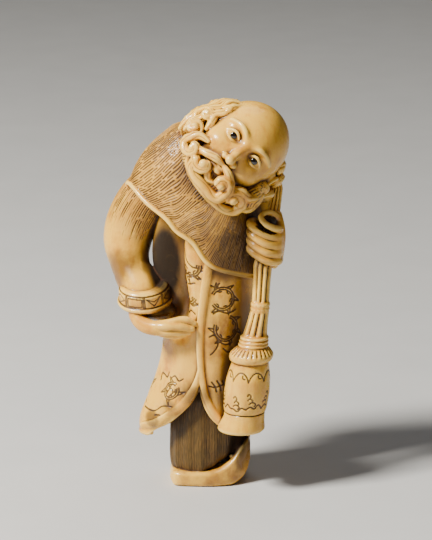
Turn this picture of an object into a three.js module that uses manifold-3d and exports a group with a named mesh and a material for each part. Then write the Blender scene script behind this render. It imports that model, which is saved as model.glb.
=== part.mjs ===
// An ivory netsuke: a bearded traveller in a straw shoulder cape, whose head leans on the trumpet
// in the left hand. The whole figure is carved from one piece; its two pupils are inlaid horn.
// Millimetres. +X is the figure's left, -Y the way it faces, +Z up. The origin is the middle of the sole.
import * as THREE from 'three';
import { mergeVertices } from 'three/addons/utils/BufferGeometryUtils.js';
import Module from 'manifold-3d';

const wasm = await Module();
wasm.setup();

// ---- driving dimensions -------------------------------------------------------------------------

const ROBE = { hem: 11.0, band: 2.1, bandRise: 0.75, folds: 7, foldDepth: 0.3 };
const ARMPIT = { depth: 4.6, towards: 229, reach: 0.31, from: 33, to: 45 };
const SPLIT_LEFT = [[-2.0, 23.2], [-3.6, 20.4], [-5.9, 17.9], [-8.6, 15.4], [-12.0, 12.9], [-14.6, 10.0]];
const SPLIT_RIGHT = [[9.4, 10.0], [8.4, 12.4], [4.8, 13.6], [2.4, 14.8], [0.4, 16.9], [-0.9, 19.4]];
const TROUSERS = { pleats: 15, pleatDepth: 0.35, climbFrom: -2.0, climb: 0.62 };
const SHOE = { bevel: 0.16, middle: -0.3 };
const CAPE = { strands: 17, strandDepth: 0.2, roll: 0.65, swell: 2.0 };
const CUFF = { centre: [-14.4, -3.2, 45.0], axis: [0.07, 0.24, -0.97] };
const TRUMPET = { flutes: 8 };
const FIST = { firstFinger: 60.3, pitch: 1.9, finger: 1.06 };
const HEAD = {
  centre: [8.0, -6.0, 79.8],
  halfWidth: 9.4,
  halfDepth: 9.8,
  halfHeight: 10.6,
  tilt: 52,
  lift: -8,
};
const EYE = { x: 3.6, y: -8.35, z: 0.0, halfWidth: 1.85, halfHeight: 1.0, slant: 22 };
const PUPIL = { radius: 0.85, gap: 0.15, length: 2.2, dome: 0.42 };
const CORD_HOLE = 1.6;

const vec = (p) => new THREE.Vector3(...p);
const rad = THREE.MathUtils.degToRad;

// ---- solids -------------------------------------------------------------------------------------

// A closed three.js geometry as a solid with its faces pointing out.
function solid(geometry) {
  const bare = geometry.index ? geometry.toNonIndexed() : geometry.clone();
  for (const name of Object.keys(bare.attributes)) if (name !== 'position') bare.deleteAttribute(name);
  const merged = mergeVertices(bare, 1e-4);
  const corners = [...merged.index.array];
  const triangles = [];
  for (let i = 0; i < corners.length; i += 3) {
    const [a, b, c] = corners.slice(i, i + 3);
    if (a !== b && b !== c && a !== c) triangles.push([a, b, c]);
  }
  const make = (faces) =>
    new wasm.Manifold(
      new wasm.Mesh({
        numProp: 3,
        vertProperties: merged.attributes.position.array,
        triVerts: new Uint32Array(faces.flat()),
      }),
    );
  const made = make(triangles);
  return made.volume() > 0 ? made : make(triangles.map(([a, b, c]) => [a, c, b]));
}

const join = (solids) => solids.reduce((whole, next) => whole.add(next));

// A three.js geometry made from a solid.
function geometryOf(body) {
  const mesh = body.getMesh();
  const positions = new Float32Array(mesh.numVert * 3);
  for (let i = 0; i < mesh.numVert; i++) {
    positions.set(mesh.vertProperties.subarray(i * mesh.numProp, i * mesh.numProp + 3), i * 3);
  }
  const geometry = new THREE.BufferGeometry();
  geometry.setAttribute('position', new THREE.BufferAttribute(positions, 3));
  geometry.setIndex(new THREE.BufferAttribute(mesh.triVerts, 1));
  return geometry;
}

// A closed geometry through rings of points, with a fan at each end.
function skin(rings) {
  const sides = rings[0].length;
  const middle = (ring) => ring.reduce((sum, p) => sum.add(p), new THREE.Vector3()).divideScalar(sides);
  const points = [...rings.flat(), middle(rings[0]), middle(rings[rings.length - 1])];
  const start = points.length - 2;
  const end = points.length - 1;
  const faces = [];
  for (let i = 0; i < sides; i++) {
    const j = (i + 1) % sides;
    faces.push(start, j, i);
    for (let k = 0; k + 1 < rings.length; k++) {
      const here = k * sides;
      const next = here + sides;
      faces.push(here + i, here + j, next + j, here + i, next + j, next + i);
    }
    const last = (rings.length - 1) * sides;
    faces.push(last + i, last + j, end);
  }
  return new THREE.BufferGeometry().setFromPoints(points).setIndex(faces);
}

// An ellipsoid, turned about its own X, Y and Z by degrees.
function ellipsoid(centre, radii, turn = [0, 0, 0], detail = 14) {
  const geometry = new THREE.SphereGeometry(1, detail, Math.round(detail * 0.7));
  const rotation = new THREE.Quaternion().setFromEuler(new THREE.Euler(...turn.map(rad)));
  return geometry.applyMatrix4(new THREE.Matrix4().compose(vec(centre), rotation, vec(radii)));
}

// A tube along a smooth curve with round ends. size(t) gives its half width and its half depth;
// the depth lies as near to the direction `toward` as the curve allows.
function tube(points, size, { toward = [0, -1, 0], steps = 10, sides = 8, closed = false } = {}) {
  const curve = new THREE.CatmullRomCurve3(points.map(vec), closed);
  const rings = [];
  const ring = (t, shrink, shift) => {
    const along = curve.getTangent(t).normalize();
    const across = new THREE.Vector3().crossVectors(along, vec(toward)).normalize();
    const depth = new THREE.Vector3().crossVectors(across, along);
    const [halfWidth, halfDepth] = size(t);
    const centre = curve.getPoint(t).addScaledVector(along, shift * Math.min(halfWidth, halfDepth));
    rings.push(
      Array.from({ length: sides }, (_, i) => {
        const a = (2 * Math.PI * i) / sides;
        return centre
          .clone()
          .addScaledVector(across, Math.cos(a) * halfWidth * shrink)
          .addScaledVector(depth, Math.sin(a) * halfDepth * shrink);
      }),
    );
  };
  ring(0, 0.6, -0.75);
  for (let k = 0; k <= steps; k++) ring(k / steps, 1, 0);
  ring(1, 0.6, 0.75);
  return skin(rings);
}

const round = (from, to = from) => (t) => {
  const r = from + (to - from) * t;
  return [r, r];
};

// Values between the rows of a table whose first column rises, by smooth steps.
function between(table, at) {
  const last = table.length - 1;
  let k = 0;
  while (k < last - 1 && at > table[k + 1][0]) k++;
  const t = THREE.MathUtils.clamp((at - table[k][0]) / (table[k + 1][0] - table[k][0]), 0, 1);
  return table[k].map((value, i) => value + (table[k + 1][i] - value) * t);
}

// A body through level oval sections. Rows are height, middle x, middle y, half width, half depth;
// ripple(angle, height) moves the wall outwards.
function stack(rows, sides, ripple = () => 0) {
  return skin(
    rows.map(([z, x, y, halfWidth, halfDepth]) =>
      Array.from({ length: sides }, (_, i) => {
        const a = (2 * Math.PI * i) / sides;
        const out = 1 + ripple(a, z) / halfDepth;
        return new THREE.Vector3(
          x + Math.cos(a) * halfWidth * out,
          y + Math.sin(a) * halfDepth * out,
          z,
        );
      }),
    ),
  );
}

// A lock of hair wound into a flat spiral that rises a little towards its middle.
function curl({ centre, facing, start = [0, 0, 1], radius, thickness, turns = 1.0, hand = 1 }) {
  const out = vec(facing).normalize();
  const a = vec(start).addScaledVector(out, -vec(start).dot(out)).normalize();
  const b = new THREE.Vector3().crossVectors(out, a).multiplyScalar(hand);
  const points = Array.from({ length: 9 }, (_, i) => {
    const t = i / 8;
    const angle = 2 * Math.PI * turns * t;
    const reach = (radius - thickness) * (1 - 0.78 * t);
    return vec(centre)
      .addScaledVector(a, Math.cos(angle) * reach)
      .addScaledVector(b, Math.sin(angle) * reach)
      .addScaledVector(out, 0.35 * t * thickness)
      .toArray();
  });
  return tube(points, round(thickness, thickness * 0.8), { toward: facing, steps: 5, sides: 4 });
}

// ---- the robe, whose front carries the hand, the lapel and the trumpet ----------------------------

const ROBE_ROWS = [
  [ROBE.hem, -2.5, 0.2, 13.2, 8.0],
  [14.5, -2.3, 0.1, 13.3, 8.5],
  [20.0, -1.3, 0.0, 12.2, 8.8],
  [27.0, -0.2, -0.2, 10.8, 9.0],
  [34.0, 0.2, -0.2, 10.3, 9.0],
  [43.0, 0.0, -0.1, 11.0, 8.9],
  [54.0, -0.9, 0.3, 11.8, 8.7],
  [69.0, -1.5, 0.5, 8.5, 6.5],
];

// Soft vertical folds, and the deep hollow between the right arm and the body.
function robeFolds(angle, z) {
  const { euclideanModulo, smoothstep } = THREE.MathUtils;
  const away = euclideanModulo(angle - rad(ARMPIT.towards) + Math.PI, 2 * Math.PI) - Math.PI;
  const hollow = Math.exp(-((away / ARMPIT.reach) ** 4)) * smoothstep(z, ARMPIT.from, ARMPIT.to);
  const swing = Math.cos(ROBE.folds * angle + z / 9) * (1 - smoothstep(z, 20, 50));
  return ROBE.foldDepth * swing - ARMPIT.depth * hollow;
}

// The point of the robe's front at a given x and z, `lift` in front of the cloth.
function onRobe(x, z, lift = 0) {
  const [, middleX, middleY, halfWidth, halfDepth] = between(ROBE_ROWS, z);
  const share = THREE.MathUtils.clamp((x - middleX) / halfWidth, -0.97, 0.97);
  return [x, middleY - halfDepth * Math.sqrt(1 - share * share) - lift, z];
}

function robe() {
  const cloth = solid(stack(ROBE_ROWS, 28, robeFolds));
  const hollow = solid(
    stack(
      [
        [ROBE.hem - 2, -2.4, 0.2, 11.4, 6.2],
        [ROBE.hem + 1.5, -2.3, 0.1, 11.2, 6.4],
        [ROBE.hem + 3.5, -2.0, 0.1, 9.0, 5.0],
      ],
      16,
    ),
  );
  // The front parts below the lapel in an upturned V.
  const below = ROBE.hem - 3;
  const flat = (points) => points.map(([x, z]) => new THREE.Vector2(x, z));
  const gap = new THREE.Shape()
    .moveTo(...SPLIT_LEFT[0])
    .splineThru(flat(SPLIT_LEFT.slice(1)))
    .lineTo(SPLIT_LEFT[SPLIT_LEFT.length - 1][0], below)
    .lineTo(SPLIT_RIGHT[0][0], below)
    .lineTo(...SPLIT_RIGHT[0])
    .splineThru(flat([...SPLIT_RIGHT.slice(1), SPLIT_LEFT[0]]));
  const wedge = new THREE.ExtrudeGeometry(gap, { depth: 12, bevelEnabled: false, curveSegments: 2 });
  wedge.rotateX(Math.PI / 2).translate(0, -3, 0);
  return cloth.subtract(hollow).subtract(solid(wedge));
}

// Raised bands along the front edge and along both sides of the split.
const LAPEL = [
  [0.4, 54.0],
  [-1.2, 43.5],
  [-1.8, 33.0],
  [-1.5, 26.5],
  [-0.5, 22.4],
  [1.1, 18.6],
  [3.1, 15.8],
  [5.4, 14.3],
  [8.0, 13.5],
];
const LEFT_BAND = [
  [-2.3, 27.6],
  [-2.7, 25.4],
  [-3.8, 22.6],
  [-5.7, 20.0],
  [-8.6, 17.3],
  [-11.8, 14.9],
  [-15.0, 13.0],
];

function bands() {
  const strip = (places) =>
    solid(
      tube(
        places.map(([x, z]) => onRobe(x, z, 0.15)),
        () => [ROBE.band / 2, ROBE.bandRise],
        { steps: 8, sides: 5 },
      ),
    );
  return [strip(LAPEL), strip(LEFT_BAND)];
}

// Finely pleated trousers, whose hem climbs over the shoe towards the figure's left.
function trousers() {
  const pleats = (angle) => TROUSERS.pleatDepth * Math.cos(TROUSERS.pleats * angle);
  const legs = stack(
    [
      [2.4, -0.9, -0.6, 7.0, 5.8],
      [4.2, -0.8, -0.5, 7.9, 6.5],
      [12.0, -0.8, -0.4, 8.0, 6.6],
      [25.0, -0.8, 0.0, 7.2, 6.0],
    ],
    TROUSERS.pleats * 2,
    pleats,
  );
  const places = legs.attributes.position;
  for (let i = 0; i < places.count; i++) {
    const low = 1 - THREE.MathUtils.smoothstep(places.getZ(i), 4, 24);
    const climb = Math.max(0, places.getX(i) - TROUSERS.climbFrom) * TROUSERS.climb;
    places.setZ(i, places.getZ(i) + climb * low);
  }
  return solid(legs);
}

// One boat-shaped shoe, whose toe turns up at the figure's left and leaves a hollow behind it.
// Rows are x, underside, top and half depth.
const SHOE_ROWS = [
  [-8.5, 0.7, 2.5, 4.8],
  [-7.6, 0, 3.3, 6.8],
  [-3.0, 0, 3.4, 7.6],
  [1.5, 0, 3.8, 7.7],
  [5.0, 0, 5.8, 7.0],
  [7.4, 0.9, 8.8, 5.6],
  [9.0, 2.8, 10.4, 4.2],
  [9.6, 4.8, 9.8, 2.8],
];

function shoe() {
  const rings = SHOE_ROWS.map(([x, low, high, halfDepth]) => {
    const inY = halfDepth * (1 - SHOE.bevel);
    const inZ = (high - low) * SHOE.bevel * 1.4;
    const corner = [
      [halfDepth, low + inZ],
      [halfDepth, high - inZ],
      [inY, high],
      [-inY, high],
      [-halfDepth, high - inZ],
      [-halfDepth, low + inZ],
      [-inY, low],
      [inY, low],
    ];
    return corner.map(([y, z]) => new THREE.Vector3(x, SHOE.middle + y, z));
  });
  const recess = ellipsoid([6.1, -1.6, 9.8], [2.3, 3.3, 4.4], [0, 24, 0], 10);
  const behindToe = ellipsoid([6.2, 0.6, 7.6], [3.4, 5.0, 5.0], [0, 0, 0], 10);
  return solid(skin(rings)).subtract(solid(recess)).add(solid(behindToe));
}

// ---- the straw cape -------------------------------------------------------------------------------

const CAPE_HEM = [
  [-17.9, -0.8, 70.0],
  [-13.6, -6.4, 66.6],
  [-9.3, -8.9, 63.6],
  [-7.0, -9.5, 60.9],
  [-3.4, -10.3, 58.4],
  [-0.5, -10.5, 54.2],
  [2.0, -10.4, 52.5],
  [5.4, -9.8, 51.4],
  [10.4, -7.4, 49.9],
  [13.0, -1.0, 49.5],
  [11.8, 5.6, 49.0],
  [6.0, 9.4, 48.2],
  [-1.0, 10.4, 48.8],
  [-8.4, 9.6, 51.5],
  [-14.6, 6.6, 59.0],
  [-17.7, 3.0, 66.4],
];
const CAPE_NECK = { centre: [-0.6, 0.7, 80.8], halfWidth: 7.4, halfDepth: 5.9, slope: 16 };

// The cape hangs from the neck to its slanting hem in fine strands, and ends in a rolled border.
function cape() {
  const hem = new THREE.CatmullRomCurve3(CAPE_HEM.map(vec), true);
  const sides = CAPE.strands * 2;
  const { centre, halfWidth, halfDepth, slope } = CAPE_NECK;
  const ring = (share, drop, swell, strand) =>
    Array.from({ length: sides }, (_, i) => {
      const low = hem.getPoint(i / sides);
      const angle = Math.atan2(low.y - centre[1], low.x - centre[0]);
      const high = new THREE.Vector3(
        centre[0] + Math.cos(angle) * halfWidth,
        centre[1] + Math.sin(angle) * halfDepth,
        centre[2] - Math.cos(angle) * halfWidth * Math.tan(rad(slope)),
      );
      const point = high.lerp(low, share);
      const out = new THREE.Vector3(point.x - centre[0] + 3 * share, point.y, 0).normalize();
      point.z -= drop;
      return point.addScaledVector(out, swell + (i % 2 ? strand : -strand));
    });
  const { roll, strandDepth, swell } = CAPE;
  const crown = ring(0, -0.9, -3.2, 0);
  const fall = [0, 0.25, 0.6].map((t) => {
    const out = swell * Math.sin(Math.PI * t ** 0.85);
    return ring(t, 0, out, t > 0 ? strandDepth : 0);
  });
  const border = [
    ring(0.94, 0, 0.15, strandDepth),
    ring(1, -0.6 * roll, roll, 0),
    ring(1, 0.6 * roll, roll, 0),
    ring(1, roll, -0.4, 0),
  ];
  return [solid(skin([crown, ...fall, ...border]))];
}

// ---- arms and hands -------------------------------------------------------------------------------

// Half width and half depth along a limb, from tables of share and size.
const tapered = (widths, depths) => (t) => [between(widths, t)[1], between(depths, t)[1]];

function rightArm() {
  const sleeve = tube(
    [[-8.0, 1.4, 71.5], [-14.6, 2.8, 65.0], [-18.2, 3.2, 56.5], [-17.6, 0.8, 50.4], [-14.9, -2.6, 45.6]],
    tapered(
      [[0, 5.4], [0.15, 5.8], [0.3, 6.0], [0.42, 5.9], [0.55, 5.4], [0.68, 4.6], [0.78, 4.35], [1, 4.9]],
      [[0, 5.4], [0.3, 6.0], [0.55, 5.6], [0.8, 4.9], [1, 4.9]],
    ),
    { toward: [0, 1, 0], steps: 8, sides: 12 },
  );
  const outline = [
    [0, -2.4],
    [5.1, -2.1],
    [5.75, -1.4],
    [5.9, 1.2],
    [6.3, 1.6],
    [5.9, 2.4],
    [5.0, 2.2],
    [4.6, 0.8],
    [0, 0.8],
  ];
  const cuff = new THREE.LatheGeometry(outline.map(([r, h]) => new THREE.Vector2(r, h)), 14);
  const upright = new THREE.Vector3(0, 1, 0);
  const turn = new THREE.Quaternion().setFromUnitVectors(upright, vec(CUFF.axis).normalize());
  cuff.applyQuaternion(turn).translate(...CUFF.centre);
  const insideCuff = ellipsoid([-12.2, -4.4, 41.6], [5.0, 3.4, 2.6], [0, 12, 0], 10);
  return [solid(sleeve), solid(cuff), solid(insideCuff)];
}

// The hand lies flat on the robe, its fingers pointing to the figure's left. Each row is one finger:
// its half thickness, then its way from the palm to the tip.
const RIGHT_FINGERS = [
  { thick: 0.95, way: [[-12.4, -8.9, 39.0], [-8.6, -10.1, 40.1], [-5.4, -9.7, 41.1], [-3.3, -9.2, 39.7]] },
  { thick: 1.0, way: [[-13.6, -8.7, 38.7], [-9.8, -10.6, 39.1], [-6.4, -10.6, 39.1], [-3.6, -10.0, 38.4]] },
  { thick: 0.9, way: [[-13.6, -8.4, 37.9], [-9.6, -10.2, 37.7], [-6.8, -10.2, 37.6], [-4.3, -9.7, 37.5]] },
  { thick: 0.75, way: [[-12.6, -8.0, 37.2], [-9.2, -9.4, 36.7], [-7.0, -9.4, 36.6], [-5.3, -9.1, 36.8]] },
];

function rightHand() {
  const palm = tube(
    [[-15.4, -3.8, 43.4], [-16.2, -5.8, 41.0], [-14.8, -7.8, 39.0], [-12.0, -9.3, 38.3], [-8.8, -10.0, 38.7]],
    tapered([[0, 1.9], [0.55, 1.75], [0.8, 1.7], [1, 1.2]], [[0, 2.2], [0.4, 1.9], [0.8, 1.3], [1, 1.0]]),
    { steps: 6, sides: 10 },
  );
  const fingers = RIGHT_FINGERS.map(({ thick, way }) =>
    solid(tube(way, round(thick, thick * 0.78), { toward: [0, 0, 1], steps: 5, sides: 6 })),
  );
  return [solid(palm), ...fingers];
}

function leftArm() {
  const sleeve = tube(
    [[7.5, 3.0, 66.0], [11.4, 4.2, 60.5], [12.6, 3.2, 57.0], [14.0, -0.4, 57.4], [15.2, -4.0, 58.6]],
    tapered([[0, 4.6], [0.4, 4.2], [0.7, 3.4], [1, 2.4]], [[0, 4.6], [0.4, 4.2], [0.7, 3.4], [1, 2.4]]),
    { toward: [1, 0, 0.2], steps: 6, sides: 10 },
  );
  return [solid(sleeve)];
}

// ---- the trumpet ----------------------------------------------------------------------------------

// From the mouthpiece behind the cheek down to the rim: height, centre x and y, radius, flute depth.
const TRUMPET_ROWS = [
  [77.5, 14.4, -1.0, 1.1, 0],
  [69.2, 15.6, -3.5, 1.25, 0.15],
  [61.8, 14.2, -6.5, 1.7, 0.2],
  [52.7, 12.3, -8.8, 2.15, 0.35],
  [44.5, 11.8, -9.9, 1.95, 0.35],
  [44.2, 11.8, -9.9, 2.25, 0],
  [42.9, 11.7, -10.0, 2.15, 0],
  [36.8, 10.5, -10.5, 2.75, 0.45],
  [36.6, 10.5, -10.5, 3.35, 0],
  [34.4, 10.1, -10.6, 3.4, 0],
  [33.2, 9.7, -10.6, 4.85, 0.5],
  [31.6, 9.6, -10.6, 4.75, 0],
  [30.7, 9.5, -10.6, 4.25, 0],
  [27.2, 9.1, -10.6, 4.95, 0],
  [24.0, 8.8, -10.5, 5.15, 0],
  [18.1, 8.2, -10.2, 4.6, 0],
  [15.3, 7.5, -10.1, 5.35, 0],
  [14.7, 7.4, -10.0, 5.1, 0],
];

function trumpet() {
  const sides = TRUMPET.flutes * 2;
  const rings = TRUMPET_ROWS.map(([z, x, y, radius, flute]) =>
    Array.from({ length: sides }, (_, i) => {
      const a = (2 * Math.PI * i) / sides;
      const r = radius - (i % 2 ? flute : 0);
      return new THREE.Vector3(x + Math.cos(a) * r, y + Math.sin(a) * r, z);
    }),
  );
  const [mouthZ, mouthX, mouthY] = TRUMPET_ROWS[TRUMPET_ROWS.length - 1];
  const hollow = ellipsoid([mouthX, mouthY, mouthZ], [4.2, 4.2, 2.4], [0, 0, 0], 10);
  return solid(skin(rings)).subtract(solid(hollow));
}

// A fist round the shaft: four fingers one above the other, the back of the hand behind them, and the
// forefinger curled into an open loop on top.
function leftHand() {
  const fingers = [0, 1, 2, 3].map((k) => {
    const z = FIST.firstFinger - FIST.pitch * k;
    const way = [
      [16.0, -6.6, z - 0.9],
      [15.4, -9.6, z - 0.6],
      [13.1, -11.3, z],
      [10.8, -11.2, z + 1.3],
      [9.6, -9.7, z + 2.2],
      [9.9, -7.6, z + 2.4],
      [11.6, -6.4, z + 2.0],
    ];
    return tube(way, round(FIST.finger, FIST.finger * 0.8), { toward: [0, 0, 1], steps: 6, sides: 5 });
  });
  const palm = ellipsoid([14.9, -6.3, 57.8], [2.0, 3.5, 6.4], [0, 0, 0], 10);
  const back = ellipsoid([14.9, -9.2, 57.4], [1.7, 1.75, 4.3], [0, 8, 24], 8);
  const core = ellipsoid([13.4, -8.4, 61.0], [1.9, 1.9, 3.6], [0, 0, 0], 8);
  const loop = tube(
    [
      [16.0, -8.2, 60.9],
      [14.4, -11.4, 62.2],
      [12.2, -11.8, 63.8],
      [11.8, -11.0, 64.6],
      [13.2, -9.4, 65.2],
      [15.0, -8.0, 64.2],
      [15.9, -7.2, 62.6],
    ],
    tapered([[0, 1.0], [0.4, 0.7], [0.8, 0.7], [1, 0.9]], [[0, 1.0], [0.4, 0.7], [0.8, 0.7], [1, 0.9]]),
    { toward: [0, 0, 1], steps: 9, sides: 5 },
  );
  return [...fingers, palm, back, core, loop].map(solid);
}

// ---- the head, modelled upright round its own centre ------------------------------------------------

const HEAD_PLACE = new THREE.Matrix4()
  .makeTranslation(...HEAD.centre)
  .multiply(new THREE.Matrix4().makeRotationX(rad(HEAD.lift)))
  .multiply(new THREE.Matrix4().makeRotationY(rad(HEAD.tilt)));

const bothSides = (make) => [-1, 1].map(make);

function skull() {
  const { halfWidth, halfDepth, halfHeight } = HEAD;
  return [
    ellipsoid([0, 0, 0], [halfWidth, halfDepth, halfHeight], [0, 0, 0], 16),
    ellipsoid([0, -2.2, -4.6], [7.4, 7.0, 6.4], [0, 0, 0], 12),
  ];
}

// Brows, nose, lips and ears of an ordinary, quiet face.
function features() {
  const noseSize = [[0, 0.9], [0.6, 1.1], [1, 1.25]];
  const nose = tube(
    [[0, -9.0, 1.0], [0, -9.7, -1.2], [0, -10.9, -3.6], [0, -10.9, -4.6]],
    tapered(noseSize, noseSize),
    { steps: 4, sides: 7 },
  );
  const lip = (z, thickness) =>
    tube([[-2.6, -8.3, z + 0.1], [0, -9.5, z], [2.6, -8.3, z + 0.1]], round(thickness), {
      toward: [0, 0, 1],
      steps: 4,
      sides: 5,
    });
  const paired = bothSides((side) => [
    tube(
      [[side * 1.4, -9.1, 1.7], [side * 3.8, -8.9, 2.7], [side * 6.4, -7.2, 1.9]],
      round(0.75, 0.45),
      { toward: [0, 0, 1], steps: 4, sides: 5 },
    ),
    ellipsoid([side * (HEAD.halfWidth + 0.1), -0.6, -1.4], [1.1, 2.0, 3.1], [8, 0, side * -14], 8),
  ]);
  return [nose, lip(-6.75, 0.6), lip(-7.75, 0.75), ...paired.flat()];
}

function eyeSocket(side) {
  const radii = [EYE.halfWidth + 0.5, 1.5, EYE.halfHeight + 0.55];
  return ellipsoid([side * EYE.x, EYE.y - 1.0, EYE.z], radii, [0, 0, side * EYE.slant], 8);
}

function eyeball(side) {
  const radii = [EYE.halfWidth, 1.35, EYE.halfHeight + 0.1];
  return ellipsoid([side * EYE.x, EYE.y + 0.75, EYE.z], radii, [0, 0, side * EYE.slant], 8);
}

// A round-ended plug across the middle of an eye.
function pupilPlug(side, radius, depth) {
  const outline = [
    [0, -depth],
    [radius, -depth],
    [radius, 0],
    [radius * 0.7, PUPIL.dome * 0.7],
    [0, PUPIL.dome],
  ];
  const plug = new THREE.LatheGeometry(outline.map(([r, h]) => new THREE.Vector2(r, h)), 10);
  return plug.rotateX(Math.PI).translate(side * EYE.x, EYE.y - 0.45, EYE.z);
}

// Where the front of the beard lies behind a place of the face.
function beardFront(x, z) {
  const room = 1 - ((x - 0.6) / 11.2) ** 2 - ((z + 7.2) / 7.6) ** 2;
  return -2.6 - 7.0 * Math.sqrt(Math.max(room, 0.02));
}

// Each lock lies on the front of the beard: its way across the face, how far it stands out, and its
// half thickness from end to end.
const LOCKS = [
  {
    way: [[-2.6, -10.2], [-4.2, -10.4], [-3.6, -11.6], [-0.8, -12.2], [2.4, -12.3], [4.9, -11.5]],
    lift: 0.45,
    size: [[0, 1.0], [0.5, 1.5], [1, 1.1]],
  },
  {
    way: [[-6.4, -9.6], [-5.2, -11.4], [-2.6, -12.6], [1.2, -12.9], [4.9, -12.7], [8.0, -11.9], [9.9, -10.2]],
    lift: 0,
    size: [[0, 0.7], [0.5, 1.1], [1, 1.2]],
  },
  { way: [[9.9, -10.2], [9.9, -8.2], [8.4, -7.0], [7.0, -7.8]], lift: 0.1, size: [[0, 1.2], [1, 1.0]] },
  { way: [[-6.0, -5.2], [-8.2, -6.2], [-9.2, -8.6], [-7.8, -10.4]], lift: 0.3, size: [[0, 0.7], [1, 1.0]] },
  { way: [[9.4, -9.4], [11.2, -8.0], [11.6, -5.8], [11.0, -3.6]], lift: 0.2, size: [[0, 0.8], [1, 0.8]] },
];
// The balls in the middle of the scrolls: place across the face, and radius.
const KNOBS = [
  [-2.9, -9.1, 1.25],
  [3.3, -9.0, 1.35],
  [7.5, -8.9, 1.35],
  [-7.2, -8.9, 1.3],
];

// Moustache and beard: smooth locks that wind into scrolls round raised balls.
function beard() {
  const mass = [
    ellipsoid([0, -4.4, -9.6], [8.4, 4.9, 4.1], [0, 0, 0], 10),
    ellipsoid([0, -2.6, -7.0], [9.6, 4.6, 4.8], [0, 0, 0], 10),
    ellipsoid([9.0, -3.6, -6.2], [3.0, 3.4, 3.6], [0, 0, 20], 8),
  ];
  const moustache = bothSides((side) =>
    tube(
      [[side * 0.7, -10.2, -5.9], [side * 3.4, -9.9, -6.6], [side * 6.4, -8.5, -7.6]],
      round(0.95, 0.5),
      { toward: [0, 0, 1], steps: 4, sides: 6 },
    ),
  );
  const locks = LOCKS.map(({ way, lift, size }) =>
    tube(
      way.map(([x, z]) => [x, beardFront(x, z) - lift, z]),
      tapered(size, size),
      { toward: [0, 0, 1], steps: 7, sides: 5 },
    ),
  );
  const knobs = KNOBS.map(([x, z, radius]) =>
    ellipsoid([x, beardFront(x, z) - 0.9, z], [radius, radius, radius], [0, 0, 0], 7),
  );
  return [...mass, ...moustache, ...locks, ...knobs];
}

// Rows of curls from temple to temple round the back; the crown is bald.
function hair() {
  const cap = ellipsoid([0, 2.0, -3.8], [HEAD.halfWidth + 2.2, HEAD.halfDepth + 0.2, 7.6], [6, 0, 0], 11);
  const temple = ellipsoid([-9.6, 0.0, -2.0], [2.6, 4.2, 8.0], [0, 15, 0], 10);
  const rows = [
    { z: 1.0, reach: 10.3, from: 86, count: 4 },
    { z: -5.0, reach: 12.0, from: 90, count: 4 },
  ];
  const curls = rows.flatMap(({ z, reach, from, count }, row) =>
    Array.from({ length: count }, (_, i) => {
      const angle = rad(from + ((360 - 2 * from) * (i + 0.5)) / count);
      const facing = [Math.sin(angle), -Math.cos(angle), z / 14];
      return curl({
        centre: [facing[0] * reach, facing[1] * reach + 0.5, z],
        facing,
        radius: 3.3,
        thickness: 1.25,
        hand: (i + row) % 2 ? 1 : -1,
      });
    }),
  );
  return [cap, temple, ...curls];
}

function head() {
  const parts = [...skull(), ...features(), ...beard(), ...hair()];
  const outside = join(parts.map(solid));
  const sockets = join(bothSides((side) => solid(eyeSocket(side))));
  const balls = join(bothSides((side) => solid(eyeball(side))));
  const { radius, gap, length } = PUPIL;
  const drilled = join(bothSides((side) => solid(pupilPlug(side, radius + gap, length + gap))));
  return outside.subtract(sockets).add(balls).subtract(drilled);
}

// ---- the pair of cord holes in the back, joined by a curved bore -------------------------------------

function cordBore() {
  const way = [[-3.6, 14, 43], [-3.2, 6.2, 42.4], [0.2, 4.4, 41.4], [3.6, 6.2, 40.4], [4.0, 14, 39.8]];
  return tube(way, round(CORD_HOLE), { toward: [0, 0, 1], steps: 6, sides: 8 });
}

// ---- the whole netsuke ------------------------------------------------------------------------------

function placedHead(body) {
  return solid(geometryOf(body).applyMatrix4(HEAD_PLACE));
}

const body = join([
  robe(),
  ...bands(),
  trousers(),
  shoe(),
  ...cape(),
  ...rightArm(),
  ...rightHand(),
  ...leftArm(),
  ...leftHand(),
  trumpet(),
]).subtract(solid(cordBore()));

const ivory = new THREE.MeshStandardMaterial({ color: '#d9bf8c', roughness: 0.35, metalness: 0 });
const horn = new THREE.MeshStandardMaterial({ color: '#1a0f0a', roughness: 0.12, metalness: 0 });

function named(name, geometry, material) {
  const mesh = new THREE.Mesh(geometry, material);
  mesh.name = name;
  return mesh;
}

const netsuke = new THREE.Group();
netsuke.add(named('ivory_figure', geometryOf(body.add(placedHead(head()))), ivory));
const eyes = new THREE.Group();
eyes.applyMatrix4(HEAD_PLACE);
eyes.add(named('right_pupil', pupilPlug(-1, PUPIL.radius, PUPIL.length), horn));
eyes.add(named('left_pupil', pupilPlug(1, PUPIL.radius, PUPIL.length), horn));
netsuke.add(eyes);

export default netsuke;
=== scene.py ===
import math

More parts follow.
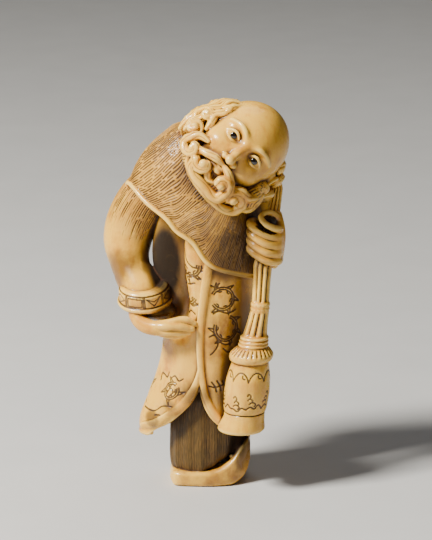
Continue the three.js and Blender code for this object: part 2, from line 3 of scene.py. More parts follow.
import bpy
import numpy as np
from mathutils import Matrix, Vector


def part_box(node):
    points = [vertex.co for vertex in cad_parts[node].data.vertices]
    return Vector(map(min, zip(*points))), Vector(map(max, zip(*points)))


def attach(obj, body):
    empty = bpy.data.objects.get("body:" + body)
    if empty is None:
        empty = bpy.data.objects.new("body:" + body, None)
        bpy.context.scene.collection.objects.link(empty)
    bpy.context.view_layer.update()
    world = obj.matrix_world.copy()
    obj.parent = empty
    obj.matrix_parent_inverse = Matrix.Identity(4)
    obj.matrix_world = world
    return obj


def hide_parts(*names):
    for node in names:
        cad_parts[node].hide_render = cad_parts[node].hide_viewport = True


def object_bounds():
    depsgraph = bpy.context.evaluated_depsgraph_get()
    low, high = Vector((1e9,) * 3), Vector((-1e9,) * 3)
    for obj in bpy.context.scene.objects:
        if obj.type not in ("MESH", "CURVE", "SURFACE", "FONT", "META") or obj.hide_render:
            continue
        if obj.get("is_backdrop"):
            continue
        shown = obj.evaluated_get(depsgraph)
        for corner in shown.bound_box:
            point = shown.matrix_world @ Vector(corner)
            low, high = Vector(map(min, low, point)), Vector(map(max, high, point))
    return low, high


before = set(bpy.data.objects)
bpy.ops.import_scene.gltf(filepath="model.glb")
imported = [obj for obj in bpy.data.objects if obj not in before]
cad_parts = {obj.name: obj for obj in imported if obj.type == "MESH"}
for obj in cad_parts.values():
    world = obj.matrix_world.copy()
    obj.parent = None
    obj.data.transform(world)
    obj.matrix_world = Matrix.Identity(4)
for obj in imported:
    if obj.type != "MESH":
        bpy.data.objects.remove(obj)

import openvdb
from mathutils import Matrix, Vector

CAD_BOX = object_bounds()
FIGURE_LOW, FIGURE_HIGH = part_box("ivory_figure")
MODELLED_HEIGHT = 89.845
MM = (FIGURE_HIGH.z - FIGURE_LOW.z) / MODELLED_HEIGHT
BODY = "root"

FINE = 0.17     # spacing of the finest samples
FACES = 198_000
BATCH = 400_000                          # samples worked out at a time
MARGIN = 1.2                             # room left round the figure when it is sampled
REACH = 1.6                              # how far past its box a form is still measured
FAR = 6.0                                # distance given to points that no form is near
FULL_TURN = 2 * math.pi


# ---- small helpers ------------------------------------------------------------------------------

def smooth(t, low, high):
    """0 below low, 1 above high, and an even rise between them."""
    t = np.clip((t - low) / (high - low), 0, 1)
    return t * t * (3 - 2 * t)


def chance(number, seed=0):
    """A fixed number from 0 to 1 for each whole one; it takes arrays and the material's values alike."""
    first = (number * 0.618034 + seed * 0.371) % 1.0
    second = (number * 0.754878 + seed * 0.113) % 1.0
    return (23.0 * first * second + first) % 1.0


def groove(value, width):
    """1 where value is a whole number, falling to 0 at width either side of it."""
    away = np.abs(value - np.round(value))
    return np.clip(1 - away / width, 0, 1)


def turned(x=0.0, y=0.0, z=0.0):
    """The rotation about X, then Y, then Z of a thing's own axes, in degrees."""
    spin = Matrix.Rotation(math.radians(x), 3, "X")
    spin = spin @ Matrix.Rotation(math.radians(y), 3, "Y")
    spin = spin @ Matrix.Rotation(math.radians(z), 3, "Z")
    return np.array(spin)


def unit(v):
    """The same directions, each 1 long."""
    v = np.asarray(v, float)
    return v / np.maximum(np.linalg.norm(v, axis=-1, keepdims=True), 1e-9)


def curve(points, steps=6, closed=False):
    """Points along a smooth curve through the given ones, in the plane or in space."""
    points = np.asarray(points, float)
    if closed:
        padded = np.vstack([points[-1:], points, points[:2]])
    else:
        padded = np.vstack([2 * points[:1] - points[1:2], points, 2 * points[-1:] - points[-2:-1]])
    made = []
    for k in range(len(padded) - 3):
        p0, p1, p2, p3 = padded[k:k + 4]
        a, b, c = (max(np.linalg.norm(v) ** 0.5, 1e-4) for v in (p1 - p0, p2 - p1, p3 - p2))
        leave = ((p1 - p0) / a - (p2 - p0) / (a + b) + (p2 - p1) / b) * b
        arrive = ((p2 - p1) / b - (p3 - p1) / (b + c) + (p3 - p2) / c) * b
        for t in np.arange(steps) / steps:
            rise = t * t * (3 - 2 * t)
            made.append(
                p1 * (1 - rise) + p2 * rise
                + leave * (t ** 3 - 2 * t ** 2 + t) + arrive * (t ** 3 - t ** 2)
            )
    if not closed:
        made.append(points[-1])
    return np.array(made)


def steps_of(table, at):
    """Values at the given places, from a short table of (place, value) pairs or one number for all."""
    if isinstance(table, (int, float)):
        return np.full(np.shape(at), float(table))
    table = np.asarray(table, float)
    return np.interp(at, table[:, 0], table[:, 1])


def polygon_distance(x, y, corners):
    """Distance to a closed outline in the plane, less than 0 inside it."""
    nearest = np.full(x.shape, 1e9)
    inside = np.zeros(x.shape, bool)
    for (x0, y0), (x1, y1) in zip(corners, np.roll(corners, -1, axis=0)):
        ex, ey = x1 - x0, y1 - y0
        t = np.clip(((x - x0) * ex + (y - y0) * ey) / max(ex * ex + ey * ey, 1e-9), 0, 1)
        nearest = np.minimum(nearest, (x - x0 - ex * t) ** 2 + (y - y0 - ey * t) ** 2)
        if abs(ey) > 1e-9:
            inside ^= ((y0 > y) != (y1 > y)) & (x < ex * (y - y0) / ey + x0)
    return np.where(inside, -1, 1) * np.sqrt(nearest)


# ---- line drawings that are engraved on a form ----------------------------------------------------

class Drawing:
    """Lines on a flat sheet, kept as the distance to the nearest one."""

    PITCH = 0.06
    WIDEST = 0.5              # distances beyond this one aren't kept
    WALL = (-0.10, 0.14)      # from where a cut's wall starts, outside the line's edge, to its floor
    STAIN = (-0.15, 0.07)     # from where its stain starts to where it is full

    def __init__(self, low, high):
        self.low = np.asarray(low, float)
        self.count = np.ceil((np.asarray(high) - self.low) / self.PITCH).astype(int) + 1
        self.away = np.full(tuple(self.count), self.WIDEST, np.float32)

    def line(self, points, width=0.15):
        """Draws one line; width is half its breadth at the surface."""
        points = np.asarray(points, float)
        for a, b in zip(points[:-1], points[1:]):
            first = np.floor((np.minimum(a, b) - self.low - self.WIDEST) / self.PITCH).astype(int)
            last = np.ceil((np.maximum(a, b) - self.low + self.WIDEST) / self.PITCH).astype(int)
            first = np.clip(first, 0, self.count - 1)
            last = np.clip(last, 0, self.count - 1)
            if (last <= first).any():
                continue
            u = self.low[0] + np.arange(first[0], last[0] + 1)[:, None] * self.PITCH
            v = self.low[1] + np.arange(first[1], last[1] + 1)[None, :] * self.PITCH
            e = b - a
            t = np.clip(((u - a[0]) * e[0] + (v - a[1]) * e[1]) / max(e @ e, 1e-9), 0, 1)
            away = np.hypot(u - a[0] - e[0] * t, v - a[1] - e[1] * t) - width
            part = self.away[first[0]:last[0] + 1, first[1]:last[1] + 1]
            np.minimum(part, away, out=part)

    def at(self, u, v):
        """Distance from points of the sheet to the edge of the nearest line."""
        gu = (u - self.low[0]) / self.PITCH
        gv = (v - self.low[1]) / self.PITCH
        out = (gu < 0) | (gv < 0) | (gu > self.count[0] - 2) | (gv > self.count[1] - 2)
        gu = np.clip(gu, 0, self.count[0] - 2)
        gv = np.clip(gv, 0, self.count[1] - 2)
        i, j = gu.astype(int), gv.astype(int)
        s, t = gu - i, gv - j
        near = self.away[i, j] * (1 - s) + self.away[i + 1, j] * s
        far = self.away[i, j + 1] * (1 - s) + self.away[i + 1, j + 1] * s
        return np.where(out, self.WIDEST, near * (1 - t) + far * t)

    def cut(self, u, v, depth):
        """How deep the tool went at points of the sheet, and how much stain stayed there."""
        inside = -self.at(u, v)
        return depth * smooth(inside, *self.WALL), smooth(inside, *self.STAIN)


SCROLL_LINE = 0.13      # half the breadth of its lines
RING_GAP = 0.5          # between the two rings


def scroll(sheet, centre, radius, start, sweep, leaves):
    """A double ring, open at one side, with pointed leaves outside it and barbs inside."""
    hand = 1 if sweep > 0 else -1
    angles = math.radians(start) + np.linspace(0, math.radians(sweep), 30)
    for shrink in (0.0, RING_GAP):
        ring = np.stack([np.cos(angles), np.sin(angles)], 1) * (radius - shrink)
        sheet.line(ring + centre, SCROLL_LINE)
    for k in range(leaves):
        a = math.radians(start + sweep * (k + 0.5) / leaves)
        out = np.array([math.cos(a), math.sin(a)])
        side = np.array([-out[1], out[0]]) * hand
        foot = np.asarray(centre) + out * radius
        tip = foot + out * 1.2 + side * 0.8
        barb = np.asarray(centre) + out * (radius - RING_GAP)
        sheet.line(curve([foot - side * 0.4, foot + out * 0.5, tip], 4), SCROLL_LINE)
        sheet.line(curve([foot + side * 0.4, foot + out * 0.35 + side * 0.55, tip], 4), SCROLL_LINE)
        sheet.line(curve([barb, barb - out * 0.5 + side * 0.2, barb - out * 0.6 + side * 0.7], 3),
                   SCROLL_LINE)


# ---- forms ----------------------------------------------------------------------------------------

class Form:
    """A shape with a box. measure() gives distances, and with full also stain and grain."""

    finish = "plain"

    def set_box(self, low, high):
        self.low = np.asarray(low, float)
        self.high = np.asarray(high, float)

    def near(self, points):
        """Which of the points are close enough to be measured."""
        inside = np.ones(len(points), bool)
        for axis in range(3):
            inside &= points[:, axis] > self.low[axis] - REACH
            inside &= points[:, axis] < self.high[axis] + REACH
        return np.flatnonzero(inside)


def measured(points, distance, full, mark=None, grain=None):
    """What measure() gives: where a form has no stain or grain of its own, none and the point's place."""
    if not full:
        return distance
    mark = np.zeros(len(points)) if mark is None else mark
    return distance, mark, points.copy() if grain is None else grain


class Egg(Form):
    """An ellipsoid."""

    def __init__(self, centre, radii, turn=(0, 0, 0), finish="plain", carve=None):
        self.centre = np.asarray(centre, float)
        self.radii = np.asarray(radii, float)
        self.axes = turned(*turn)
        self.finish = finish
        self.carve = carve
        reach = np.sqrt(((self.axes * self.radii) ** 2).sum(1))
        self.set_box(self.centre - reach, self.centre + reach)

    def measure(self, points, full=False):
        local = (points - self.centre) @ self.axes
        share = np.linalg.norm(local / self.radii, axis=1)
        slope = np.linalg.norm(local / self.radii ** 2, axis=1)
        distance = share * (share - 1) / np.maximum(slope, 1e-6)
        if self.carve is None:
            return measured(points, distance, full)
        depth, mark, grain = self.carve(local / self.radii, points)
        return measured(points, distance + depth, full, mark, grain)


class Tube(Form):
    """A round or oval form along a smooth curve, with round ends."""

    def __init__(self, path, width, depth=None, toward=(0, -1, 0), steps=5, closed=False,
                 drawn=False, finish="plain", carve=None):
        way = np.asarray(path, float) if drawn else curve(path, steps, closed)
        if closed:
            way = np.vstack([way, way[:1]])
        share = np.linspace(0, 1, len(way))
        self.way = way
        self.width = steps_of(width, share)
        self.depth = self.width if depth is None else steps_of(depth, share)
        self.round = depth is None
        along = unit(np.gradient(way, axis=0))
        if closed:
            along[0] = along[-1] = unit(along[0] + along[-1])
        self.across = unit(np.cross(along, unit(toward)))
        self.out = np.cross(self.across, along)
        self.along = along
        self.length = np.concatenate([[0], np.cumsum(np.linalg.norm(np.diff(way, axis=0), axis=1))])
        self.finish = finish
        self.carve = carve
        reach = np.maximum(self.width, self.depth)[:, None]
        self.set_box((way - reach).min(0), (way + reach).max(0))

    def measure(self, points, full=False):
        best = np.full(len(points), 1e9)
        segment = np.zeros(len(points), int)
        share = np.zeros(len(points))
        thick = np.maximum(self.width, self.depth)
        for k in range(len(self.way) - 1):
            start = self.way[k]
            step = self.way[k + 1] - start
            size = max(step @ step, 1e-12)
            t = np.clip((points - start) @ (step / size), 0, 1)
            gap = points - start - t[:, None] * step
            away = np.sqrt((gap * gap).sum(1)) - thick[k] - t * (thick[k + 1] - thick[k])
            closer = away < best
            best[closer] = away[closer]
            segment[closer] = k
            share[closer] = t[closer]
        if self.round and self.carve is None and not full:
            return best

        def here(values):
            s = share[:, None] if values.ndim == 2 else share
            return values[segment] * (1 - s) + values[segment + 1] * s

        gap = points - here(self.way)
        u = (gap * here(self.across)).sum(1)
        v = (gap * here(self.out)).sum(1)
        w = (gap * here(self.along)).sum(1)
        wide, deep = here(self.width), here(self.depth)
        if self.round:
            distance = best
        else:
            cap = np.minimum(wide, deep)
            scaled = np.sqrt((u / wide) ** 2 + (v / deep) ** 2 + (w / cap) ** 2)
            slope = np.sqrt((u / wide ** 2) ** 2 + (v / deep ** 2) ** 2 + (w / cap ** 2) ** 2)
            distance = scaled * (scaled - 1) / np.maximum(slope, 1e-6)
        angle = np.arctan2(v / deep, u / wide)
        length = here(self.length)
        mark = None
        if self.carve is not None:
            depth, mark = self.carve(angle, length, here(np.linspace(0, 1, len(self.way))), points)
            distance = distance + depth
        grain = np.stack([np.cos(angle) * wide, np.sin(angle) * wide, length], 1) if full else None
        return measured(points, distance, full, mark, grain)


class Column(Form):
    """A body through level oval sections: height, middle x, middle y, half width, half depth."""

    def __init__(self, rows, finish="plain", carve=None, lean=None, girth=10.0, rounding=0.25):
        rows = np.asarray(rows, float)
        self.rows = curve(rows, 6)
        self.finish = finish
        self.carve = carve
        self.lean = lean
        self.girth = girth
        self.rounding = rounding
        self.z0, self.z1 = rows[:, 0].min(), rows[:, 0].max()
        order = np.argsort(self.rows[:, 0])
        self.rows = self.rows[order]
        low = [(rows[:, 1] - rows[:, 3]).min(), (rows[:, 2] - rows[:, 4]).min(), self.z0]
        high = [(rows[:, 1] + rows[:, 3]).max(), (rows[:, 2] + rows[:, 4]).max(), self.z1]
        grow = 0.0 if lean is None else 8.0
        self.set_box(low, np.asarray(high) + [0, 0, grow])

    def section(self, z):
        z = np.clip(z, self.z0, self.z1)
        return [np.interp(z, self.rows[:, 0], self.rows[:, k]) for k in (1, 2, 3, 4)]

    def front(self, x, z, lift=0.0):
        """The point of the front at a given x and z, lift in front of it."""
        cx, cy, wide, deep = (float(v) for v in self.section(z))
        share = min(max((x - cx) / wide, -0.97), 0.97)
        return [x, cy - deep * math.sqrt(1 - share * share) - lift, z]

    def chart(self, x, z):
        """The place on the unrolled sheet of the front's point at x and z."""
        cx, _, wide, _ = (float(v) for v in self.section(z))
        return [math.asin(min(max((x - cx) / wide, -1), 1)) * self.girth, z]

    def measure(self, points, full=False):
        x, y = points[:, 0], points[:, 1]
        z = points[:, 2] if self.lean is None else points[:, 2] - self.lean(points)
        cx, cy, wide, deep = self.section(z)
        qx, qy = (x - cx) / wide, (y - cy) / deep
        share = np.maximum(np.hypot(qx, qy), 1e-4)
        slope = np.hypot(qx / wide, qy / deep) / share
        out = (share - 1) / slope
        grow = np.gradient(self.rows[:, 3], self.rows[:, 0])
        lean = np.interp(z, self.rows[:, 0], grow)
        out = out / np.sqrt(1 + lean * lean)
        angle = np.arctan2(qx, -qy)
        mark = None
        if self.carve is not None:
            depth, mark = self.carve(angle, z, points)
            out = out + depth
        r = self.rounding
        cap = np.maximum(self.z0 - z, z - self.z1)
        both = np.hypot(np.maximum(out + r, 0), np.maximum(cap + r, 0)) - r
        distance = np.where((out > -r) & (cap > -r), both, np.maximum(out, cap))
        grain = None
        if full:
            grain = np.stack([np.sin(angle) * self.girth, -np.cos(angle) * self.girth, z], 1)
        return measured(points, distance, full, mark, grain)


class Turning(Form):
    """A form turned about its own axis from a closed outline of (radius, height) corners."""

    ROUNDING = 0.12

    def __init__(self, centre, axis, outline, carve):
        self.centre = np.asarray(centre, float)
        self.axis = unit(axis)
        self.side = unit(np.cross(self.axis, [0, 1, 0]))
        self.other = np.cross(self.axis, self.side)
        self.outline = np.asarray(outline, float)
        self.carve = carve
        reach = np.linalg.norm(self.outline, axis=1).max()
        self.set_box(self.centre - reach, self.centre + reach)

    def measure(self, points, full=False):
        gap = points - self.centre
        h = gap @ self.axis
        a, b = gap @ self.side, gap @ self.other
        distance = polygon_distance(np.hypot(a, b), h, self.outline) - self.ROUNDING
        depth, mark = self.carve(np.arctan2(b, a), h, points)
        grain = np.stack([a, b, h], 1) if full else None
        return measured(points, distance + depth, full, mark, grain)


class Group(Form):
    """Forms joined and cut one after another, each with the softness of its seam."""

    def __init__(self, place=None, shift=(0, 0, 0)):
        self.steps = []
        self.turn = np.eye(3) if place is None else np.asarray(place, float)
        self.shift = np.asarray(shift, float)

    def add(self, form, seam=0.2):
        self.steps.append((1, form, seam))
        self.rebox()

    def cut(self, form, seam):
        self.steps.append((-1, form, seam))

    def rebox(self):
        """Fits the box round what was added, turned and shifted with the group."""
        made = [form for sign, form, _ in self.steps if sign > 0]
        low = np.min([form.low for form in made], axis=0)
        high = np.max([form.high for form in made], axis=0)
        corners = np.array([[(low, high)[i][0], (low, high)[j][1], (low, high)[k][2]]
                            for i in (0, 1) for j in (0, 1) for k in (0, 1)])
        corners = corners @ self.turn.T + self.shift
        self.set_box(corners.min(0), corners.max(0))

    def measure(self, points, full=False):
        local = (points - self.shift) @ self.turn
        total = np.full(len(points), FAR)
        if full:
            mark, grain = np.zeros(len(points)), local.copy()
            self.finishes = np.zeros(len(points), int)
        for sign, form, seam in self.steps:
            index = form.near(local)
            if not len(index):
                continue
            found = form.measure(local[index], full)
            distance = found[0] if full else found
            before = total[index] * sign
            overlap = np.maximum(seam - np.abs(before - distance), 0) / seam
            total[index] = sign * (np.minimum(before, distance) - overlap * overlap * seam / 4)
            if full:
                wins = distance < before
                chosen = index[wins]
                mark[chosen] = found[1][wins]
                grain[chosen] = found[2][wins]
                if isinstance(form, Group):
                    self.finishes[chosen] = form.finishes[wins]
                elif sign > 0 or form.finish != "plain":
                    self.finishes[chosen] = FINISHES.index(form.finish)
        return (total, mark, grain) if full else total


# the last finish paints holes and recesses dark brown, as painted shade
FINISHES = ["plain", "straw", "sleeve", "trousers", "hair", "skin", "painted_shade_hole"]
LANES = {"straw": 204, "sleeve": 76, "trousers": 84}     # cuts side by side round each of these forms


# ---- the robe -------------------------------------------------------------------------------------

HEM = 11.0
ROBE_ROWS = [
    [HEM, -2.5, 0.2, 13.2, 8.0],
    [14.5, -2.3, 0.1, 13.3, 8.5],
    [20.0, -1.3, 0.0, 12.2, 8.8],
    [27.0, -0.2, -0.2, 10.8, 9.0],
    [34.0, 0.2, -0.2, 10.3, 9.0],
    [43.0, 0.0, -0.1, 11.0, 8.9],
    [54.0, -0.9, 0.3, 11.8, 8.7],
    [69.0, -1.5, 0.5, 8.5, 6.5],
]
SPLIT_TOP = [-2.0, 23.2]
SPLIT_LEFT = [-14.6, 10.0]
SPLIT_RIGHT = [9.4, 10.0]
SPLIT_BACK = -3.0                     # how far back the split is cut
ROBE_GIRTH = 10.6                     # the reach at which the robe's pattern is laid out flat
ROBE_CUT = 0.26                       # depth of its engraving
BACK = math.pi * ROBE_GIRTH
ARMPIT_TOWARD = math.radians(225)     # the hollow that the right arm leaves in the robe
ARMPIT_DEPTH = 4.2
ARMPIT_SPREAD = 0.33                  # radians to either side
ARMPIT_RISE = (33, 45)                # heights at which it starts and has its full depth


def robe_pattern(robe):
    """Leafy scrolls over the cloth: large rings in front, sparser ones round the back."""
    sheet = Drawing([-BACK, HEM], [BACK, 58])
    place = robe.chart
    scroll(sheet, place(3.4, 44.9), 2.7, 150, -300, 5)
    scroll(sheet, place(4.2, 38.0), 3.0, 70, -270, 5)
    scroll(sheet, place(-4.4, 52.6), 2.7, 190, 170, 4)
    scroll(sheet, place(-5.0, 46.0), 2.5, 120, 210, 4)
    scroll(sheet, place(-8.4, 22.8), 2.1, 60, 330, 4)
    strokes = [
        [(0.5, 48.2), (1.9, 47.7), (2.6, 48.6)],
        [(1.2, 41.6), (2.4, 42.1), (4.6, 41.5), (6.3, 42.2)],
        [(0.3, 36.2), (1.5, 36.6), (2.3, 34.6), (1.2, 32.6), (0.5, 32.0)],
        [(2.6, 35.0), (4.0, 34.2), (5.6, 34.6)],
        [(3.4, 33.4), (4.6, 32.4), (6.2, 32.6)],
        [(0.2, 24.6), (1.5, 24.3), (3.2, 24.8)],
        [(0.8, 25.6), (1.6, 24.4), (1.9, 23.2)],
        [(2.0, 25.9), (2.7, 24.5), (2.9, 23.4)],
        [(3.2, 25.8), (3.8, 24.5)],
        [(-6.2, 56.0), (-5.2, 53.6), (-3.4, 52.2), (-2.0, 52.0)],
        [(-6.0, 51.0), (-4.9, 49.9), (-3.4, 50.4), (-2.2, 49.4)],
        [(-6.4, 49.0), (-5.0, 48.2), (-3.0, 48.6)],
        [(-6.6, 43.6), (-5.2, 44.0), (-3.6, 43.2), (-2.2, 43.8)],
        [(-8.0, 52.4), (-6.8, 51.6), (-5.8, 52.4), (-5.0, 51.8)],
        [(-8.2, 50.2), (-7.0, 49.6), (-6.0, 50.4)],
        [(-8.0, 47.8), (-6.8, 47.0), (-5.9, 47.6)],
        [(-7.6, 45.6), (-6.6, 44.9), (-5.6, 45.4)],
        [(-6.6, 41.8), (-5.4, 41.2), (-4.2, 42.0), (-3.0, 41.4)],
        [(-11.0, 24.4), (-10.6, 26.0), (-9.4, 25.6), (-9.0, 26.8)],
        [(-8.6, 25.4), (-7.4, 26.4), (-6.4, 25.4), (-5.6, 26.0)],
        [(-9.2, 22.4), (-8.6, 23.4), (-7.8, 22.6), (-8.4, 21.9)],
        [(-14.2, 17.6), (-12.6, 17.3), (-10.8, 18.7), (-8.4, 19.2), (-7.2, 18.8)],
        [(-12.6, 16.4), (-11.2, 16.6), (-10.2, 15.8)],
    ]
    for points in strokes:
        sheet.line(curve([place(*point) for point in points], 6), 0.14)
    for k, angle in enumerate((96, 128, 162, 198, 232, 262)):
        u = math.radians(angle if angle < 180 else angle - 360) * ROBE_GIRTH
        for j, z in enumerate((44.5, 34.5, 22.0)):
            rise = 1.6 * math.sin(2.4 * k + 1.7 * j)
            centre = (u + 0.9 * math.sin(k + 2 * j), z + rise)
            scroll(sheet, centre, 2.2, 40 * k + 70 * j, 290 if (k + j) % 2 else -290, 4)
            sheet.line(curve([(u - 3.6, z + rise - 2.6), (u - 1.4, z + rise - 3.4),
                              (u + 1.4, z + rise - 2.8), (u + 3.2, z + rise - 4.0)], 5), 0.10)
    return sheet


def make_robe():
    robe = Column(ROBE_ROWS, girth=ROBE_GIRTH, rounding=0.7)
    pattern = robe_pattern(robe)

    def carve(angle, z, points):
        turn = angle - math.pi / 2
        away = np.abs(np.mod(turn - ARMPIT_TOWARD + math.pi, FULL_TURN) - math.pi)
        armpit = ARMPIT_DEPTH * np.exp(-((away / ARMPIT_SPREAD) ** 2.6)) * smooth(z, *ARMPIT_RISE)
        swing = 0.3 * np.cos(7 * turn + z / 9) * (1 - smooth(z, 20, 50))
        behind = smooth(np.abs(angle), 1.2, 2.0)
        folds = np.abs(np.sin(4.5 * turn + 0.7 * np.sin(z / 7))) ** 0.7 * 0.75
        folds = behind * (folds - 0.35) * smooth(z, 50, 22)
        rim = 0.22 * smooth(z, HEM + 1.3, HEM + 0.5)
        depth, mark = pattern.cut(angle * ROBE_GIRTH, z, ROBE_CUT)
        return armpit - swing - folds - rim + depth, mark

    robe.carve = carve
    return robe


def make_split():
    """The wedge that parts the front of the robe below the lapel."""
    left = curve([SPLIT_TOP, [-3.6, 20.4], [-5.9, 17.9], [-8.6, 15.4], [-12.0, 12.9], SPLIT_LEFT], 5)
    right = curve([SPLIT_RIGHT, [8.4, 12.4], [4.8, 13.6], [2.4, 14.8], [0.4, 16.9], [-0.9, 19.4],
                   SPLIT_TOP], 5)
    low = [[SPLIT_LEFT[0], HEM - 3], [SPLIT_RIGHT[0], HEM - 3]]
    corners = np.vstack([left, low, right[:-1]])

    class Wedge(Form):
        def measure(self, points, full=False):
            outline = polygon_distance(points[:, 0], points[:, 2], corners)
            return measured(points, np.maximum(outline, points[:, 1] - SPLIT_BACK), full)

    wedge = Wedge()
    wedge.set_box([SPLIT_LEFT[0], -14, HEM - 3], [SPLIT_RIGHT[0], SPLIT_BACK, SPLIT_TOP[1]])
    return wedge


def make_bands(robe):
    """Raised smooth bands along the front edge and along the left of the split."""
    def strip(places, width):
        way = [robe.front(x, z, 0.1) for x, z in places]
        return Tube(way, width, 0.52, steps=6)

    lapel = strip([(0.4, 54), (-0.5, 48.5), (-1.2, 43.5), (-1.7, 38), (-1.8, 32), (-1.4, 26.5),
                   (-0.5, 22.4), (1.1, 18.6), (3.1, 15.8), (5.4, 14.3), (8.0, 13.5)],
                  [(0, 1.1), (0.3, 0.9), (0.45, 0.75), (0.6, 0.75), (1, 1.0)])
    left = strip([(-2.1, 28.4), (-2.5, 25.8), (-3.8, 22.6), (-5.7, 20.0), (-8.6, 17.3), (-11.8, 14.9),
                  (-15.0, 13.0)],
                 [(0, 0.3), (0.16, 0.7), (0.34, 1.05), (1, 1.05)])
    return lapel, left


# ---- trousers and shoe ----------------------------------------------------------------------------

PLEATS = 15
PLEAT_DEPTH = 0.10
TROUSER_SHIFT = 20.0     # added to the trousers' heights before their short cuts are laid out


def make_trousers():
    """Pleated trousers, whose foot climbs to the left with the shoe."""
    def climb(points):
        low = 1 - smooth(points[:, 2], 4, 24)
        return np.maximum(0, points[:, 0] + 2.0) * 0.62 * low

    def carve(angle, z, points):
        turn = angle - math.pi / 2
        pleat = -PLEAT_DEPTH * np.cos(PLEATS * turn)
        return pleat + short_cuts(angle * LANES["trousers"] / FULL_TURN, z + TROUSER_SHIFT, 0.10), 0 * z

    return Column(
        [[2.4, -0.9, -0.6, 7.0, 5.8], [4.2, -0.8, -0.5, 7.9, 6.5],
         [12.0, -0.8, -0.4, 8.0, 6.6], [25.0, -0.8, 0.0, 7.2, 6.0]],
        finish="trousers", carve=carve, lean=climb, girth=7.4, rounding=0.6,
    )


class Shoe(Form):
    """A boat-shaped shoe from rows of x, underside, top and half depth, with rolled edges."""

    ROWS = curve([
        [-8.5, 0.7, 2.5, 4.8], [-7.6, 0.0, 3.3, 6.8], [-3.0, 0.0, 3.4, 7.6], [1.5, 0.0, 3.8, 7.7],
        [5.0, 0.0, 5.8, 7.0], [7.4, 0.9, 8.8, 5.6], [9.0, 2.8, 10.4, 4.2], [9.6, 4.8, 9.8, 2.8],
    ], 5)
    MIDDLE = -0.3

    def __init__(self):
        self.set_box([-8.6, -8.1, 0], [9.7, 7.5, 10.5])

    def measure(self, points, full=False):
        x = np.clip(points[:, 0], self.ROWS[0, 0], self.ROWS[-1, 0])
        low, high, deep = (np.interp(x, self.ROWS[:, 0], self.ROWS[:, k]) for k in (1, 2, 3))
        low = np.maximum(low, 0)
        half = (high - low) / 2
        r = np.minimum(1.25, half * 0.62)
        qy = np.abs(points[:, 1] - self.MIDDLE) - deep + r
        qz = np.abs(points[:, 2] - low - half) - half + r
        section = np.hypot(np.maximum(qy, 0), np.maximum(qz, 0)) + np.minimum(np.maximum(qy, qz), 0) - r
        end = np.abs(points[:, 0] - x)
        tilt = 1 + 0.55 * smooth(x, 1, 7)
        inside = section / tilt
        distance = np.where(end > 0, np.hypot(np.maximum(inside, 0), end), inside)
        return measured(points, distance, full)


def make_foot():
    """The shoe with its hollow toe, the trousers in it, and a filling between the two that is painted dark as
    shade.
    """
    # the toe's hollow and the filling between the shoe and the trousers are painted dark as shade
    toe_hollow = Egg((6.1, -1.6, 9.8), (2.3, 3.3, 4.4), (0, 24, 0), finish="painted_shade_hole")
    shaded_toe_filling = Egg((6.2, 0.6, 7.6), (3.4, 5.0, 5.0), finish="painted_shade_hole")
    bead = Egg((5.4, -4.6, 6.4), (0.6, 0.6, 0.6))
    fold = Tube([(9.2, -1.5, 14.0), (9.0, -0.6, 11.4), (8.7, 0.4, 9.0)], 0.85)
    shoe = Group()
    shoe.add(Shoe())
    shoe.cut(toe_hollow, 0.5)
    foot = Group()
    foot.add(shoe)
    foot.add(make_trousers(), 0.05)
    foot.add(shaded_toe_filling, 0.3)
    foot.add(bead, 0.2)
    foot.add(fold, 0.3)
    return foot


# ---- the straw cape -------------------------------------------------------------------------------

CAPE_HEM = np.array([
    [-17.9, -0.8, 70.0], [-13.6, -6.4, 66.6], [-9.3, -8.9, 63.6], [-7.0, -9.5, 60.9],
    [-3.4, -10.3, 58.4], [-0.5, -10.5, 54.2], [2.0, -10.4, 52.5], [5.4, -9.8, 51.4],
    [10.4, -7.4, 49.9], [13.0, -1.0, 49.5], [11.8, 5.6, 49.0], [6.0, 9.4, 48.2],
    [-1.0, 10.4, 48.8], [-8.4, 9.6, 51.5], [-14.6, 6.6, 59.0], [-17.7, 3.0, 66.4],
])
CAPE_AXIS = (-0.6, 0.8)
NECK_HALF = (7.4, 6.0)
NECK_TOP = 80.8
NECK_SLOPE = math.tan(math.radians(16))
CAPE_TOP = 84.0
ROLL = 0.55              # half the thickness of the rolled hem
STRAW_FALL = 26.0        # length of the straws from neck to hem, for their cuts
STRAW_GIRTH = 11.0
STRAW_CUT = 0.22         # depth of the cuts in the cape and the sleeve
CUT_LENGTH = 4.2         # least spacing of these cuts along a lane; the most is twice that


def short_cuts(lane, along, depth):
    """Cuts of uneven length side by side: lane counts them across, along is the way down them."""
    number = np.round(lane)
    start = np.mod(along / (CUT_LENGTH + CUT_LENGTH * chance(number)) + 7 * chance(number, 1), 1)
    dash = smooth(start, 0.0, 0.08) * (1 - smooth(start, 0.84, 0.97))
    line = groove(lane, 0.42) * dash * (0.2 + 0.8 * chance(number, 2))
    return depth * line


